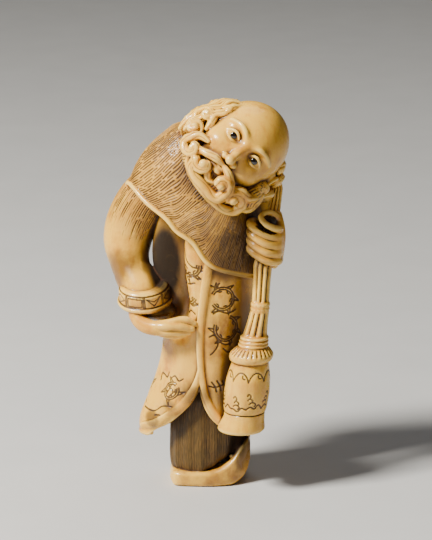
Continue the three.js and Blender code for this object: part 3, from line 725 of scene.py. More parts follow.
class Cape(Form):
    """It falls from the neck to a slanting hem; every straw runs from the neck outwards."""

    finish = "straw"

    def __init__(self):
        hem = curve(CAPE_HEM, 8, closed=True)
        angle = np.arctan2(hem[:, 1] - CAPE_AXIS[1], hem[:, 0] - CAPE_AXIS[0])
        order = np.argsort(angle)
        reach = np.hypot(hem[:, 0] - CAPE_AXIS[0], hem[:, 1] - CAPE_AXIS[1])
        self.angle = np.concatenate([angle[order] + around for around in (-FULL_TURN, 0, FULL_TURN)])
        self.hem_reach = np.tile(reach[order], 3)
        self.hem_height = np.tile(hem[order, 2], 3)
        self.lanes = self.make_lanes()
        self.set_box([-18.6, -11.6, 47.0], [14, 11.2, 84.5])

    def make_lanes(self):
        """A chart from a point's angle and fall to the angle at which its straw reaches the hem."""
        at_hem = np.radians([95, 135, 180, 210, 230, 247, 276, 299, 345, 395, 455])
        lean = np.radians([0, 0, 30, 66, 78, 76, 58, 40, 16, 0, 0])
        ends = np.linspace(at_hem[0], at_hem[-1], 361)
        leaning = np.interp(ends, at_hem, lean)
        self.chart_angle = np.linspace(at_hem[0], at_hem[-1], 361)
        self.chart_share = np.linspace(0, 1, 33)
        return np.array([np.interp(self.chart_angle, ends + leaning * (1 - share), ends)
                         for share in self.chart_share])

    def lane_angle(self, angle, share):
        """Reads the chart at an angle and a share of the fall."""
        first = self.chart_angle[0]
        at = np.mod(angle - first, FULL_TURN) / (self.chart_angle[1] - first)
        down = share * (len(self.chart_share) - 1)
        i = np.clip(at.astype(int), 0, len(self.chart_angle) - 2)
        j = np.clip(down.astype(int), 0, len(self.chart_share) - 2)
        s, t = at - i, down - j
        upper = self.lanes[j, i] * (1 - s) + self.lanes[j, i + 1] * s
        lower = self.lanes[j + 1, i] * (1 - s) + self.lanes[j + 1, i + 1] * s
        return upper * (1 - t) + lower * t

    def wall(self, angle, z):
        """The cape's reach at an angle and height, the share of the fall there, and the hem's height."""
        low = np.interp(angle, self.angle, self.hem_height)
        reach = np.interp(angle, self.angle, self.hem_reach)
        neck = 1 / np.hypot(np.cos(angle) / NECK_HALF[0], np.sin(angle) / NECK_HALF[1])
        top = NECK_TOP - np.cos(angle) * neck * NECK_SLOPE
        fall = np.clip((top - z) / (top - low), -0.1, 1.0)
        share = np.clip(fall, 0, 1)
        swell = 2.0 * np.sin(math.pi * share ** 0.85)
        over = np.maximum(0, z - top)
        return neck + (reach - neck) * share + swell - 2.2 * over - 0.5 * over ** 2, share, low

    def measure(self, points, full=False):
        x, y, z = points[:, 0] - CAPE_AXIS[0], points[:, 1] - CAPE_AXIS[1], points[:, 2]
        angle = np.arctan2(y, x)
        wall, share, low = self.wall(angle, z)
        step, turn = 0.3, 0.03
        rise = (self.wall(angle, z + step)[0] - wall) / step
        swing = (self.wall(angle + turn, z)[0] - wall) / turn / np.maximum(wall, 3)
        lean = np.sqrt(1 + np.minimum(rise, 3) ** 2 + swing ** 2)
        out = (np.hypot(x, y) - wall) / lean
        fall = share * STRAW_FALL
        drift = 0.04 * np.sin(3 * angle + fall / 6) + 0.006 * np.sin(11 * angle - fall / 3)
        lying = self.lane_angle(angle, share) + drift * (1 - share)
        edge = 1 - smooth(share, 0.93, 0.97)
        depth = short_cuts(lying * LANES["straw"] / FULL_TURN, fall, STRAW_CUT) * edge
        distance = np.maximum(out + depth, low - z)
        distance = np.maximum(distance, z - CAPE_TOP)
        grain = None
        if full:
            grain = np.stack([np.cos(lying) * STRAW_GIRTH, np.sin(lying) * STRAW_GIRTH, fall], 1)
        return measured(points, distance, full, None, grain)


def make_cape():
    """The cape with its rolled hem, and the thinner roll just above it in front."""
    cape = Group()
    cape.add(Cape())
    cape.add(Tube(CAPE_HEM, ROLL, steps=5, closed=True), 0.12)
    middle = np.array([CAPE_AXIS[0], CAPE_AXIS[1], 66.0])
    inner = CAPE_HEM[[15, 0, 1, 2, 3, 4, 5, 6, 7, 8]]
    inner = inner + (middle - inner) * [0.03, 0.03, 0.0] + [0.5, 0.2, 1.35]
    cape.add(Tube(inner, [(0, 0.2), (0.1, 0.4), (0.6, 0.36), (1, 0.2)], steps=5), 0.2)
    return cape


# ---- arms -----------------------------------------------------------------------------------------

CUFF_AXIS = np.array([0.07, 0.24, -0.97])
CUFF_CENTRE = np.array([-14.4, -3.2, 45.0])
CUFF_GIRTH = 5.9
CUFF_CUT = 0.22
SLEEVE_CUTS = (13.0, 17.5)    # how far down the sleeve its cuts begin to fade, and where they end
SLEEVE_RAGGED = 6.0           # how unevenly they end


def make_right_arm():
    """The straw sleeve, the turned cuff and the hollow under it, painted dark as shade."""
    def sleeve_cuts(angle, length, share, points):
        lane = angle * LANES["sleeve"] / FULL_TURN
        ragged = length + SLEEVE_RAGGED * (chance(np.round(lane), 3) - 0.5)
        upper = 1 - smooth(ragged, *SLEEVE_CUTS)
        fold = 0.35 * groove(angle * 1.5 / math.pi + 0.2 * share, 0.25) * smooth(share, 0.7, 1.0)
        return short_cuts(lane, length, STRAW_CUT) * upper + fold, 0 * fold

    arm = Group()
    path = [[-8.0, 1.4, 71.5], [-14.6, 2.8, 65.0], [-18.2, 3.2, 56.5], [-17.6, 0.8, 50.4],
            [-14.9, -2.6, 45.6]]
    width = [(0, 5.4), (0.15, 5.8), (0.3, 6.0), (0.42, 5.9), (0.55, 5.4), (0.68, 4.6), (0.78, 4.35),
             (1, 4.9)]
    depth = [(0, 5.4), (0.3, 6.0), (0.55, 5.6), (0.8, 4.9), (1, 4.9)]
    arm.add(Tube(path, width, depth, toward=(0, 1, 0), steps=8, carve=sleeve_cuts, finish="sleeve"))
    panels = cuff_pattern()

    def cuff_cuts(angle, h, points):
        return panels.cut(angle * CUFF_GIRTH, h, CUFF_CUT)

    outline = [[0, -2.4], [4.7, -2.4], [5.3, -2.0], [5.65, -1.4], [5.8, 1.1], [6.15, 1.35],
               [6.2, 1.8], [5.8, 2.3], [5.0, 2.2], [4.6, 0.8], [0, 0.8]]
    arm.add(Turning(CUFF_CENTRE, CUFF_AXIS, outline, cuff_cuts), 0.1)
    # the hollow under the cuff is painted dark as shade
    below_cuff = Egg((-12.2, -4.4, 41.6), (5.0, 3.4, 2.6), (0, 12, 0), finish="painted_shade_hole")
    arm.add(below_cuff, 0.3)
    return arm


def cuff_pattern():
    """Lozenges, oblongs and chevrons between double lines, right round the cuff."""
    half = math.pi * CUFF_GIRTH
    sheet = Drawing([-half - 0.5, -2.6], [half + 0.5, 2.6])
    for h in (-1.75, 1.05):
        sheet.line([(-half, h), (half, h)], 0.11)
    panels = 8
    wide = 2 * half / panels
    for k in range(panels):
        u = -half + wide * (k + 0.5)
        low, high, reach = -1.25, 0.65, wide / 2 - 0.55
        middle = (low + high) / 2
        for edge in (-0.18, 0.18):
            sheet.line([(u + wide / 2 + edge, -1.7), (u + wide / 2 + edge, 1.0)], 0.09)
        if k % 3 == 0:
            corners = [(u - reach, low), (u + reach, low), (u + reach, high), (u - reach, high)]
        elif k % 3 == 1:
            corners = [(u - reach, middle), (u, low), (u + reach, middle), (u, high)]
        else:
            corners = [(u - reach, low), (u, high), (u + reach, low), (u, low + 0.9)]
        sheet.line(corners + corners[:1], 0.1)
    return sheet


def make_right_hand():
    """The palm hangs from the cuff and the fingers lie one over another on the robe."""
    hand = Group()
    palm = [[-15.4, -3.8, 43.4], [-16.2, -5.8, 41.0], [-14.8, -7.8, 39.0], [-12.0, -9.3, 38.3],
            [-8.8, -10.0, 38.7]]
    hand.add(Tube(palm, [(0, 1.9), (0.3, 1.8), (0.55, 1.75), (0.8, 1.7), (1, 1.2)],
                  [(0, 2.2), (0.4, 1.9), (0.8, 1.3), (1, 1.0)], steps=6))
    fingers = [
        {"way": [(-12.4, -8.9, 39.0), (-8.6, -10.1, 39.8), (-6.0, -9.9, 40.4), (-4.4, -9.6, 40.1),
                 (-3.0, -9.3, 39.3)], "thick": 0.95},
        {"way": [(-13.6, -8.7, 38.7), (-9.8, -10.6, 39.1), (-6.4, -10.6, 39.1), (-3.6, -10.0, 38.4)],
         "thick": 1.0},
        {"way": [(-13.6, -8.4, 37.9), (-9.6, -10.2, 37.7), (-6.8, -10.2, 37.6), (-4.3, -9.7, 37.5)],
         "thick": 0.9},
        {"way": [(-12.6, -8.0, 37.2), (-9.2, -9.4, 36.7), (-7.0, -9.4, 36.6), (-5.3, -9.1, 36.8)],
         "thick": 0.75},
    ]
    for finger in fingers:
        thick = finger["thick"]
        knuckles = [(0, 0.9 * thick), (0.35, thick), (0.5, 0.94 * thick), (0.66, thick),
                    (0.82, 0.88 * thick), (1, 0.72 * thick)]
        hand.add(Tube(finger["way"], knuckles, toward=(0, 0, 1), steps=8), 0.16)
        x, y, z = finger["way"][-1]
        nail = Egg((x - 0.1, y - 0.66 * thick, z + 0.15), (0.52, 0.2, 0.36), (0, 0, 14))
        hand.add(nail, 0.05)
    return hand


def make_left_arm():
    """A smooth sleeve with soft folds below the elbow."""
    def soft_folds(angle, length, share, points):
        fold = 0.3 * groove(length / 3.3 + 0.3 * np.sin(angle), 0.3)
        return fold * smooth(share, 0.35, 0.6), 0 * fold

    path = [[7.5, 3.0, 66.0], [11.4, 4.2, 60.5], [12.6, 3.2, 57.0], [14.0, -0.4, 57.4], [15.2, -4.0, 58.6]]
    radii = [(0, 4.6), (0.2, 4.45), (0.4, 4.2), (0.55, 3.85), (0.7, 3.4), (0.85, 2.85), (1, 2.4)]
    return Tube(path, radii, toward=(1, 0, 0.2), steps=7, carve=soft_folds)


FINGER_PITCH = 1.9       # from one wound finger down to the next


def make_fist():
    """Four fingers wound round the shaft, the palm behind them, and the forefinger's open loop."""
    fist = Group()
    palm = Egg((14.9, -6.3, 57.8), (2.0, 3.5, 6.4))
    edge = Tube([(15.9, -7.4, 54.2), (16.2, -8.1, 57.6), (16.2, -7.8, 61.2), (15.7, -6.4, 64.0)],
                [(0, 0.95), (0.5, 1.2), (1, 0.9)], steps=5)
    under_fingers = Egg((14.9, -9.2, 57.4), (1.7, 1.75, 4.3), (0, 8, 24))
    # the loop's opening and the ground behind it are painted dark as shade
    loop_opening = Egg((13.0, -11.7, 61.9), (2.9, 1.7, 0.75), (0, 24, 10), finish="painted_shade_hole")
    loop_ground = Egg((13.4, -8.4, 62.9), (1.9, 1.3, 2.0), finish="painted_shade_hole")
    fist.add(palm)
    fist.add(edge, 0.7)
    for k in range(4):
        z = 60.3 - FINGER_PITCH * k
        shrink = 0.97 if k in (0, 3) else 1.0
        ring = [(16.0, -6.6, z - 0.9), (15.4, -9.6, z - 0.6), (13.1, -11.45 * shrink, z),
                (10.8, -11.3 * shrink, z + 1.3), (9.6, -9.7, z + 2.2), (9.9, -7.6, z + 2.4),
                (11.6, -6.4, z + 2.0)]
        thick = [(0, 1.0), (0.25, 1.06), (0.45, 1.0), (0.6, 1.06), (0.8, 0.96), (1, 0.8)]
        fist.add(Tube(ring, thick, toward=(0, 0, 1), steps=6), 0.1)
    fist.add(under_fingers, 0.9)
    fist.cut(loop_opening, 0.2)
    fist.add(loop_ground, 0.1)
    loop = [(16.0, -8.2, 60.9), (15.6, -10.0, 61.5), (14.4, -11.4, 62.2), (13.1, -12.0, 63.0),
            (12.2, -11.8, 63.8), (11.8, -11.0, 64.6), (12.6, -9.9, 65.2), (13.9, -8.9, 65.1),
            (15.0, -8.0, 64.2), (15.9, -7.2, 62.6)]
    fist.add(Tube(loop, [(0, 1.0), (0.2, 0.8), (0.4, 0.68), (0.6, 0.62), (0.8, 0.64), (1, 0.9)],
                  toward=(0, 0, 1), steps=5), 0.14)
    return fist


# ---- the trumpet ----------------------------------------------------------------------------------

TRUMPET_AXIS = np.array([
    [14.7, 7.4, -10.0], [18.1, 8.2, -10.2], [24.0, 8.8, -10.5], [27.2, 9.1, -10.6],
    [31.6, 9.6, -10.6], [34.4, 10.1, -10.6], [36.8, 10.5, -10.5], [42.9, 11.7, -10.0],
    [44.5, 11.8, -9.9], [52.7, 12.3, -8.8], [61.8, 14.2, -6.5], [69.2, 15.6, -3.5], [77.5, 14.4, -1.0],
])
TRUMPET_REACH = np.array([
    [14.7, 5.05], [15.1, 5.35], [15.6, 5.3], [16.8, 4.9], [18.2, 4.62], [19.0, 4.62], [19.15, 4.5],
    [19.4, 4.72], [20.6, 4.95], [24.0, 5.18], [27.2, 4.98], [29.6, 4.5], [30.7, 4.22],
    [30.9, 4.05], [31.15, 4.2], [31.5, 4.75], [32.3, 5.0], [33.0, 4.9], [33.9, 4.15], [34.4, 3.55],
    [34.55, 3.2], [34.75, 3.35], [35.05, 3.5], [35.3, 3.3], [35.4, 3.1], [35.5, 3.25], [35.8, 3.4],
    [36.1, 3.2], [36.2, 3.02], [36.3, 3.15], [36.6, 3.3], [36.9, 3.05], [37.1, 2.75], [38.0, 2.6],
    [40.0, 2.35], [42.6, 2.12], [42.75, 1.98], [42.9, 2.15], [43.4, 2.2], [43.6, 2.05], [43.8, 2.18],
    [44.4, 2.2], [44.6, 2.0], [44.8, 1.95], [48.0, 1.95], [52.7, 2.12], [61.8, 1.7], [69.2, 1.25],
    [77.5, 1.1],
])
FLUTES, FLUTE_DEPTH = 9, 0.52                    # how many go round, and how deep they are
RING_LOBES, RING_LOBE_DEPTH = 26, 0.34
COLLAR_NICKS, COLLAR_NICK_DEPTH = 14, 0.1
BARREL_GIRTH = 5.0
BARREL_CUT = 0.22


def barrel_pattern():
    """Pointed lobes hang from the bell's collar, and a cloud line with curls runs round its foot."""
    half = math.pi * BARREL_GIRTH
    sheet = Drawing([-half - 1, 18], [half + 1, 31])
    lobes = 8
    wide = 2 * half / lobes
    for k in range(-1, lobes + 1):
        u = -half + wide * (k + 0.5)
        edge = u + wide / 2
        sheet.line(curve([(u - wide / 2, 27.3), (u - wide / 2 + 0.5, 28.5), (u - 0.5, 29.3), (u + 0.6, 29.2),
                          (edge - 0.5, 28.4), (edge, 27.3)], 6), 0.14)
        sheet.line(curve([(edge - 0.9, 28.0), (edge - 1.5, 28.2), (edge - 1.6, 28.8)], 4), 0.12)
        lift = 0.5 * math.sin(1.7 * k)
        sheet.line(curve([(u - wide / 2, 20.9), (u - 1.0, 21.3 + lift), (u, 20.8 + lift),
                          (u + 0.9, 21.7 + lift), (edge, 20.9)], 6), 0.15)
        for j, rise in enumerate((22.0, 22.9, 24.0)):
            start = u - 1.4 + 0.5 * math.sin(2.3 * k + j)
            reach = 1.5 - 0.35 * j
            sheet.line(curve([(start, rise + lift), (start + 0.4 * reach, rise + lift + 0.4),
                              (start + reach, rise + lift - 0.1), (start + 0.8 * reach, rise + lift - 0.6)],
                             5), 0.13)
    sheet.line([(-half, 19.2), (half, 19.2)], 0.12)
    return sheet


class Trumpet(Form):
    """A trumpet that leans: its rings stay level, so the axis slides sideways with height."""

    LOW, HIGH = TRUMPET_AXIS[[0, -1], 0]

    def __init__(self):
        self.pattern = barrel_pattern()
        self.set_box([2.0, -16.2, self.LOW], [17.2, 0.2, self.HIGH])

    def measure(self, points, full=False):
        z = np.clip(points[:, 2], self.LOW, self.HIGH)
        x = points[:, 0] - np.interp(z, TRUMPET_AXIS[:, 0], TRUMPET_AXIS[:, 1])
        y = points[:, 1] - np.interp(z, TRUMPET_AXIS[:, 0], TRUMPET_AXIS[:, 2])
        reach = np.interp(z, TRUMPET_REACH[:, 0], TRUMPET_REACH[:, 1])
        angle = np.arctan2(x, -y)
        depth, mark = self.pattern.cut(angle * BARREL_GIRTH, z, BARREL_CUT)
        flute = groove(angle * FLUTES / FULL_TURN, 0.33)
        fluted = smooth(z, 44.7, 45.1) + smooth(z, 37.0, 37.6) * (1 - smooth(z, 42.3, 42.7))
        depth = depth + FLUTE_DEPTH * flute * fluted
        mark = np.maximum(mark, 0.8 * smooth(flute, 0.35, 0.95) * fluted)
        notch = groove(angle * RING_LOBES / FULL_TURN, 0.26)
        notch = notch * smooth(z, 32.5, 33.2) * (1 - smooth(z, 34.2, 34.5))
        depth = depth + RING_LOBE_DEPTH * notch
        mark = np.maximum(mark, smooth(notch, 0.25, 0.8))
        nick = groove(angle * COLLAR_NICKS / FULL_TURN, 0.2)
        nick = nick * smooth(z, 42.85, 43.0) * (1 - smooth(z, 44.3, 44.5))
        depth = depth + COLLAR_NICK_DEPTH * nick
        slope = np.interp(z, TRUMPET_REACH[:, 0], np.gradient(TRUMPET_REACH[:, 1], TRUMPET_REACH[:, 0]))
        out = (np.hypot(x, y) - reach + depth) / np.sqrt(1 + np.minimum(slope * slope, 2.0) + 0.03)
        cap = np.maximum(self.LOW - points[:, 2], points[:, 2] - self.HIGH)
        distance = np.maximum(out, cap)
        grain = np.stack([np.cos(angle) * 4, np.sin(angle) * 4, z], 1) if full else None
        return measured(points, distance, full, mark, grain)


def make_trumpet():
    """The trumpet with its hollow mouth, painted dark inside as shade."""
    height, x, y = TRUMPET_AXIS[0]
    # the mouth's hollow is painted dark as shade
    mouth = Egg((x, y, height), (4.2, 4.2, 2.4), finish="painted_shade_hole")
    trumpet = Group()
    trumpet.add(Trumpet())
    trumpet.cut(mouth, 0.3)
    return trumpet


# ---- the head, modelled upright round its own centre ------------------------------------------------

HEAD_CENTRE = np.array([8.0, -6.0, 79.8])
HEAD_TURN = turned(x=-8) @ turned(y=52)
HEAD_HALF = np.array([9.4, 9.8, 10.6])
EYE_OUT = 3.6           # from the middle of the face to the middle of each eye
SIDES = (-1, 1)         # the figure's right and left


def sided(side, *points):
    """Points given for the left side, kept there or mirrored to the right."""
    return [(side * x, y, z) for x, y, z in points]


def strands(count, depth):
    """Long grooves that follow a lock of hair."""
    def carve(angle, length, share, points):
        line = groove(angle * count / FULL_TURN + 0.25 * np.sin(length * 0.9), 0.24)
        return depth * line, 0.5 * smooth(line, 0.3, 0.95)
    return carve


def make_face():
    """A quiet face on ordinary proportions: eyes at half height, nose and mouth on even thirds."""
    face = Group()
    face.add(Egg((0, 0, 0), HEAD_HALF, finish="skin"))
    face.add(Egg((0, -2.2, -4.6), (7.4, 7.0, 6.4), finish="skin"), 3.0)
    for side in SIDES:
        face.add(Egg((side * 4.5, -6.5, -3.3), (2.5, 2.5, 2.1), finish="skin"), 2.2)
        brow = sided(side, (1.1, -9.25, 1.7), (2.6, -9.35, 2.45), (4.4, -8.75, 2.7), (6.6, -7.1, 1.8))
        face.add(Tube(brow, [(0, 0.45), (0.35, 0.62), (1, 0.3)], toward=(0, 0, 1), finish="skin"), 0.9)
        socket = Egg((side * EYE_OUT, -9.75, 0.15), (2.45, 1.6, 1.6), (0, 0, side * 18), finish="skin")
        eyeball = Egg((side * EYE_OUT, -7.6, 0), (1.95, 1.38, 1.3), (0, 0, side * 10), finish="skin")
        face.cut(socket, 0.8)
        face.add(eyeball, 0.12)
        upper = sided(side, (1.8, -8.62, -0.3), (2.5, -9.0, 0.55), (EYE_OUT, -9.15, 0.95),
                      (4.7, -8.75, 0.62), (5.6, -7.9, -0.25))
        lower = sided(side, (1.8, -8.62, -0.3), (2.6, -8.85, -0.8), (EYE_OUT, -8.95, -1.0),
                      (4.7, -8.55, -0.78), (5.6, -7.9, -0.25))
        face.add(Tube(upper, [(0, 0.22), (0.5, 0.36), (1, 0.22)], toward=(0, 0, 1), finish="skin"), 0.22)
        face.add(Tube(lower, [(0, 0.2), (0.5, 0.27), (1, 0.2)], toward=(0, 0, 1), finish="skin"), 0.22)
        crease = sided(side, (2.0, -9.15, 0.7), (3.5, -9.35, 1.55), (5.2, -8.5, 1.15))
        face.cut(Tube(crease, 0.14, toward=(0, 0, 1)), 0.25)
    bridge = [(0, -9.0, 1.4), (0, -9.55, -0.6), (0, -10.35, -2.4), (0, -10.95, -3.8)]
    face.add(Tube(bridge, [(0, 0.75), (0.4, 0.85), (0.75, 1.0), (1, 1.05)], finish="skin"), 0.9)
    face.add(Egg((0, -10.95, -3.95), (1.15, 1.15, 0.95), finish="skin"), 0.4)
    for side in SIDES:
        wing = Egg((side * 1.3, -9.95, -4.2), (0.85, 1.2, 0.78), (0, 0, side * 20), finish="skin")
        nostril = Egg((side * 0.62, -10.75, -4.95), (0.34, 0.55, 0.42))
        face.add(wing, 0.35)
        face.cut(nostril, 0.15)
    mouth_mound = Egg((0, -7.9, -6.9), (3.4, 2.0, 2.2), finish="skin")
    lip_hollow = Tube([(0, -10.2, -5.0), (0, -10.25, -6.3)], 0.32)
    face.add(mouth_mound, 1.4)
    face.cut(lip_hollow, 0.5)
    upper_lip = [(-2.5, -8.95, -7.05), (-1.1, -9.75, -6.6), (0, -9.95, -6.78), (1.1, -9.75, -6.6),
                 (2.5, -8.95, -7.05)]
    face.add(Tube(upper_lip, [(0, 0.2), (0.3, 0.42), (0.5, 0.4), (0.7, 0.42), (1, 0.2)],
                  toward=(0, 0, 1), finish="skin"), 0.3)
    lower_lip = [(-2.2, -9.0, -7.3), (0, -9.75, -7.75), (2.2, -9.0, -7.3)]
    face.add(Tube(lower_lip, [(0, 0.25), (0.5, 0.6), (1, 0.25)], toward=(0, 0, 1), finish="skin"), 0.3)
    line = [(-2.6, -9.15, -7.12), (-1.2, -10.0, -7.05), (0, -10.3, -7.15), (1.2, -10.0, -7.05),
            (2.6, -9.15, -7.12)]
    face.cut(Tube(line, 0.12, toward=(0, 0, 1), finish="hair"), 0.12)
    for side in SIDES:
        make_ear(face, side)
    return face


def make_ear(face, side):
    """A shell with a hollow, a rolled rim and an inner fold."""
    ear = Group()
    ear.add(Egg((side * 9.3, -0.7, -1.4), (1.15, 2.0, 3.0), (8, 0, side * -16), finish="skin"))
    ear.cut(Egg((side * 10.45, -1.0, -1.3), (0.75, 1.15, 2.0), (8, 0, side * -16), finish="skin"), 0.3)
    rim = sided(side, (9.9, -2.0, -2.6), (10.1, -2.25, -0.4), (10.3, -1.3, 1.15), (10.5, 0.1, 1.0),
                (10.5, 0.75, -0.8), (10.1, 0.3, -3.0), (9.8, -0.9, -4.1))
    fold = sided(side, (10.1, -0.7, 0.2), (10.3, 0.0, -1.2), (10.0, -0.6, -2.8))
    rim_widths = [(0, 0.28), (0.5, 0.42), (0.85, 0.35), (1, 0.55)]
    for way, width in ((rim, rim_widths), (fold, 0.24)):
        ear.add(Tube(way, width, toward=(side, 0, 0), finish="skin"), 0.2)
    face.add(ear, 0.4)


def beard_front(x, z):
    """Where the front of the beard lies behind a place of the face."""
    room = 1 - ((x - 0.6) / 11.2) ** 2 - ((z + 7.2) / 7.6) ** 2
    return -2.6 - 7.0 * math.sqrt(max(room, 0.02))


def scroll_end(last, centre, turns, hand, inner):
    """Points that wind from last round centre, and in towards it; hand is 1 or -1 for the way round."""
    steps = max(4, int(turns * 12))
    t = np.linspace(0, 1, steps + 1)[1:]
    dx, dz = last[0] - centre[0], last[1] - centre[1]
    reach = math.hypot(dx, dz)
    angle = math.atan2(dz, dx) + FULL_TURN * hand * turns * t
    r = reach + (inner - reach) * t
    return np.stack([centre[0] + np.cos(angle) * r, centre[1] + np.sin(angle) * r], 1)


def beard_lock(way, thick, first=None, last=None, lift=0.0, count=5, knob=0.0):
    """A long smooth lock in front of the beard; either end can wind into a scroll round a knob."""
    flat = curve(way, 5)
    if last is not None:
        flat = np.vstack([flat, scroll_end(flat[-1], *last)])
    if first is not None:
        flat = np.vstack([scroll_end(flat[0], *first)[::-1], flat])
    points = np.array([[x, beard_front(x, z) - lift, z] for x, z in flat])
    lock = Group()
    for end, at in ((first, points), (last, points[::-1])):
        if end is not None:
            rise = np.linspace(0.55, 0, min(10, len(at)))
            at[:len(rise), 1] -= rise
            if knob:
                x, z = end[0]
                lock.add(Egg((x, beard_front(x, z) - lift - 0.9, z), (knob, knob, knob), finish="hair"), 0.15)
    lock.add(Tube(points, thick, toward=(0, 1, 0), drawn=True, finish="hair",
                  carve=strands(count, 0.12)), 0.1)
    return lock


def side_curl(centre, facing, start, radius, thick, turns, hand):
    """A curl that lies on the side or back of the head and winds in to a raised knob."""
    lead = 0.25      # the share of its turns by which it starts outside
    out = unit(facing)
    first = unit(np.asarray(start, float) - np.dot(start, out) * out)
    second = np.cross(out, first) * hand
    t = np.linspace(-lead, 1, 26)
    angle = FULL_TURN * turns * t
    reach = (radius - thick) * np.where(t < 0, 1 - 2.2 * t, 1 - 0.8 * t)
    way = np.asarray(centre) + np.cos(angle)[:, None] * reach[:, None] * first
    way = way + np.sin(angle)[:, None] * reach[:, None] * second
    way = way + (0.75 * np.clip(t, 0, 1) ** 1.5 - 0.5 * np.clip(-t, 0, 1))[:, None] * out * thick
    widths = [(0, 0.35 * thick), (0.2, thick), (0.75, 0.85 * thick), (1, 0.72 * thick)]
    return Tube(way, widths, toward=-out, drawn=True, finish="hair", carve=strands(6, 0.11))


def make_beard():
    """Two combed cushions, seven rolled locks over them, and the moustache."""
    beard = Group()

    def combed(local, points):
        lane = points[:, 0] * 1.5 + 0.9 * np.sin(points[:, 2] * 0.8) + 0.35 * points[:, 2]
        line = groove(lane, 0.32)
        return 0.16 * line, 0.85 * smooth(line, 0.2, 0.85), points

    beard.add(Egg((0, -4.4, -9.6), (8.4, 4.9, 4.1), finish="hair", carve=combed))
    beard.add(Egg((0, -2.6, -7.0), (9.6, 4.6, 4.8), finish="hair", carve=combed), 0.8)
    locks = [
        beard_lock([(-4.6, -9.9), (-3.6, -11.6), (-0.8, -12.2), (2.4, -12.3), (4.9, -11.5), (5.4, -9.6)],
                   [(0, 1.0), (0.25, 1.3), (0.5, 1.5), (0.75, 1.4), (1, 1.1)],
                   first=((-2.9, -9.1), 0.55, 1, 0.8), last=((3.3, -9.0), 0.55, 1, 0.9),
                   knob=1.05, lift=0.45),
        beard_lock([(-6.4, -9.6), (-5.2, -11.4), (-2.6, -12.6), (1.2, -12.9), (4.9, -12.7),
                    (8.0, -11.9), (9.9, -10.4), (9.8, -8.2)],
                   [(0, 0.7), (0.2, 1.0), (0.5, 1.1), (0.8, 1.2), (1, 1.1)],
                   last=((7.5, -8.9), 0.55, 1, 0.8), count=4, knob=1.2),
        beard_lock([(-6.0, -5.2), (-8.2, -6.2), (-9.2, -8.6)],
                   [(0, 0.6), (0.3, 1.1), (0.7, 1.1), (1, 0.95)],
                   last=((-7.2, -8.9), 0.8, 1, 0.7), lift=0.3, knob=0.8),
        beard_lock([(-1.0, -8.4), (-0.8, -9.6), (0.4, -10.4), (1.6, -10.0)],
                   [(0, 0.5), (0.4, 0.95), (1, 0.6)], lift=-0.1),
        beard_lock([(5.2, -7.6), (7.2, -6.4), (9.4, -6.2), (10.8, -4.4)],
                   [(0, 0.6), (0.4, 1.2), (0.7, 1.1), (1, 0.6)], lift=0.35),
        beard_lock([(9.4, -9.4), (11.2, -8.0), (11.6, -5.8), (11.0, -3.6)],
                   [(0, 0.7), (0.4, 1.1), (1, 0.7)], lift=0.2),
        beard_lock([(-5.4, -10.6), (-5.6, -8.6), (-4.6, -7.2), (-3.2, -7.0)],
                   [(0, 0.8), (0.5, 1.05), (1, 0.6)], lift=-0.1),
    ]
    beard.add(Egg((9.0, -3.6, -6.2), (3.0, 3.4, 3.6), (0, 0, 20), finish="hair", carve=combed), 0.6)
    for lock in locks:
        beard.add(lock, 0.12)
    for side in SIDES:
        moustache = sided(side, (0.35, -10.3, -5.85), (1.9, -10.5, -6.05), (3.6, -10.0, -6.7),
                          (5.3, -9.2, -7.5), (6.6, -8.3, -7.6))
        beard.add(Tube(moustache, [(0, 0.55), (0.3, 0.98), (0.6, 0.92), (0.85, 0.6), (1, 0.35)],
                       toward=(0, 1, 0), finish="hair", carve=strands(6, 0.08)), 0.14)
    return beard


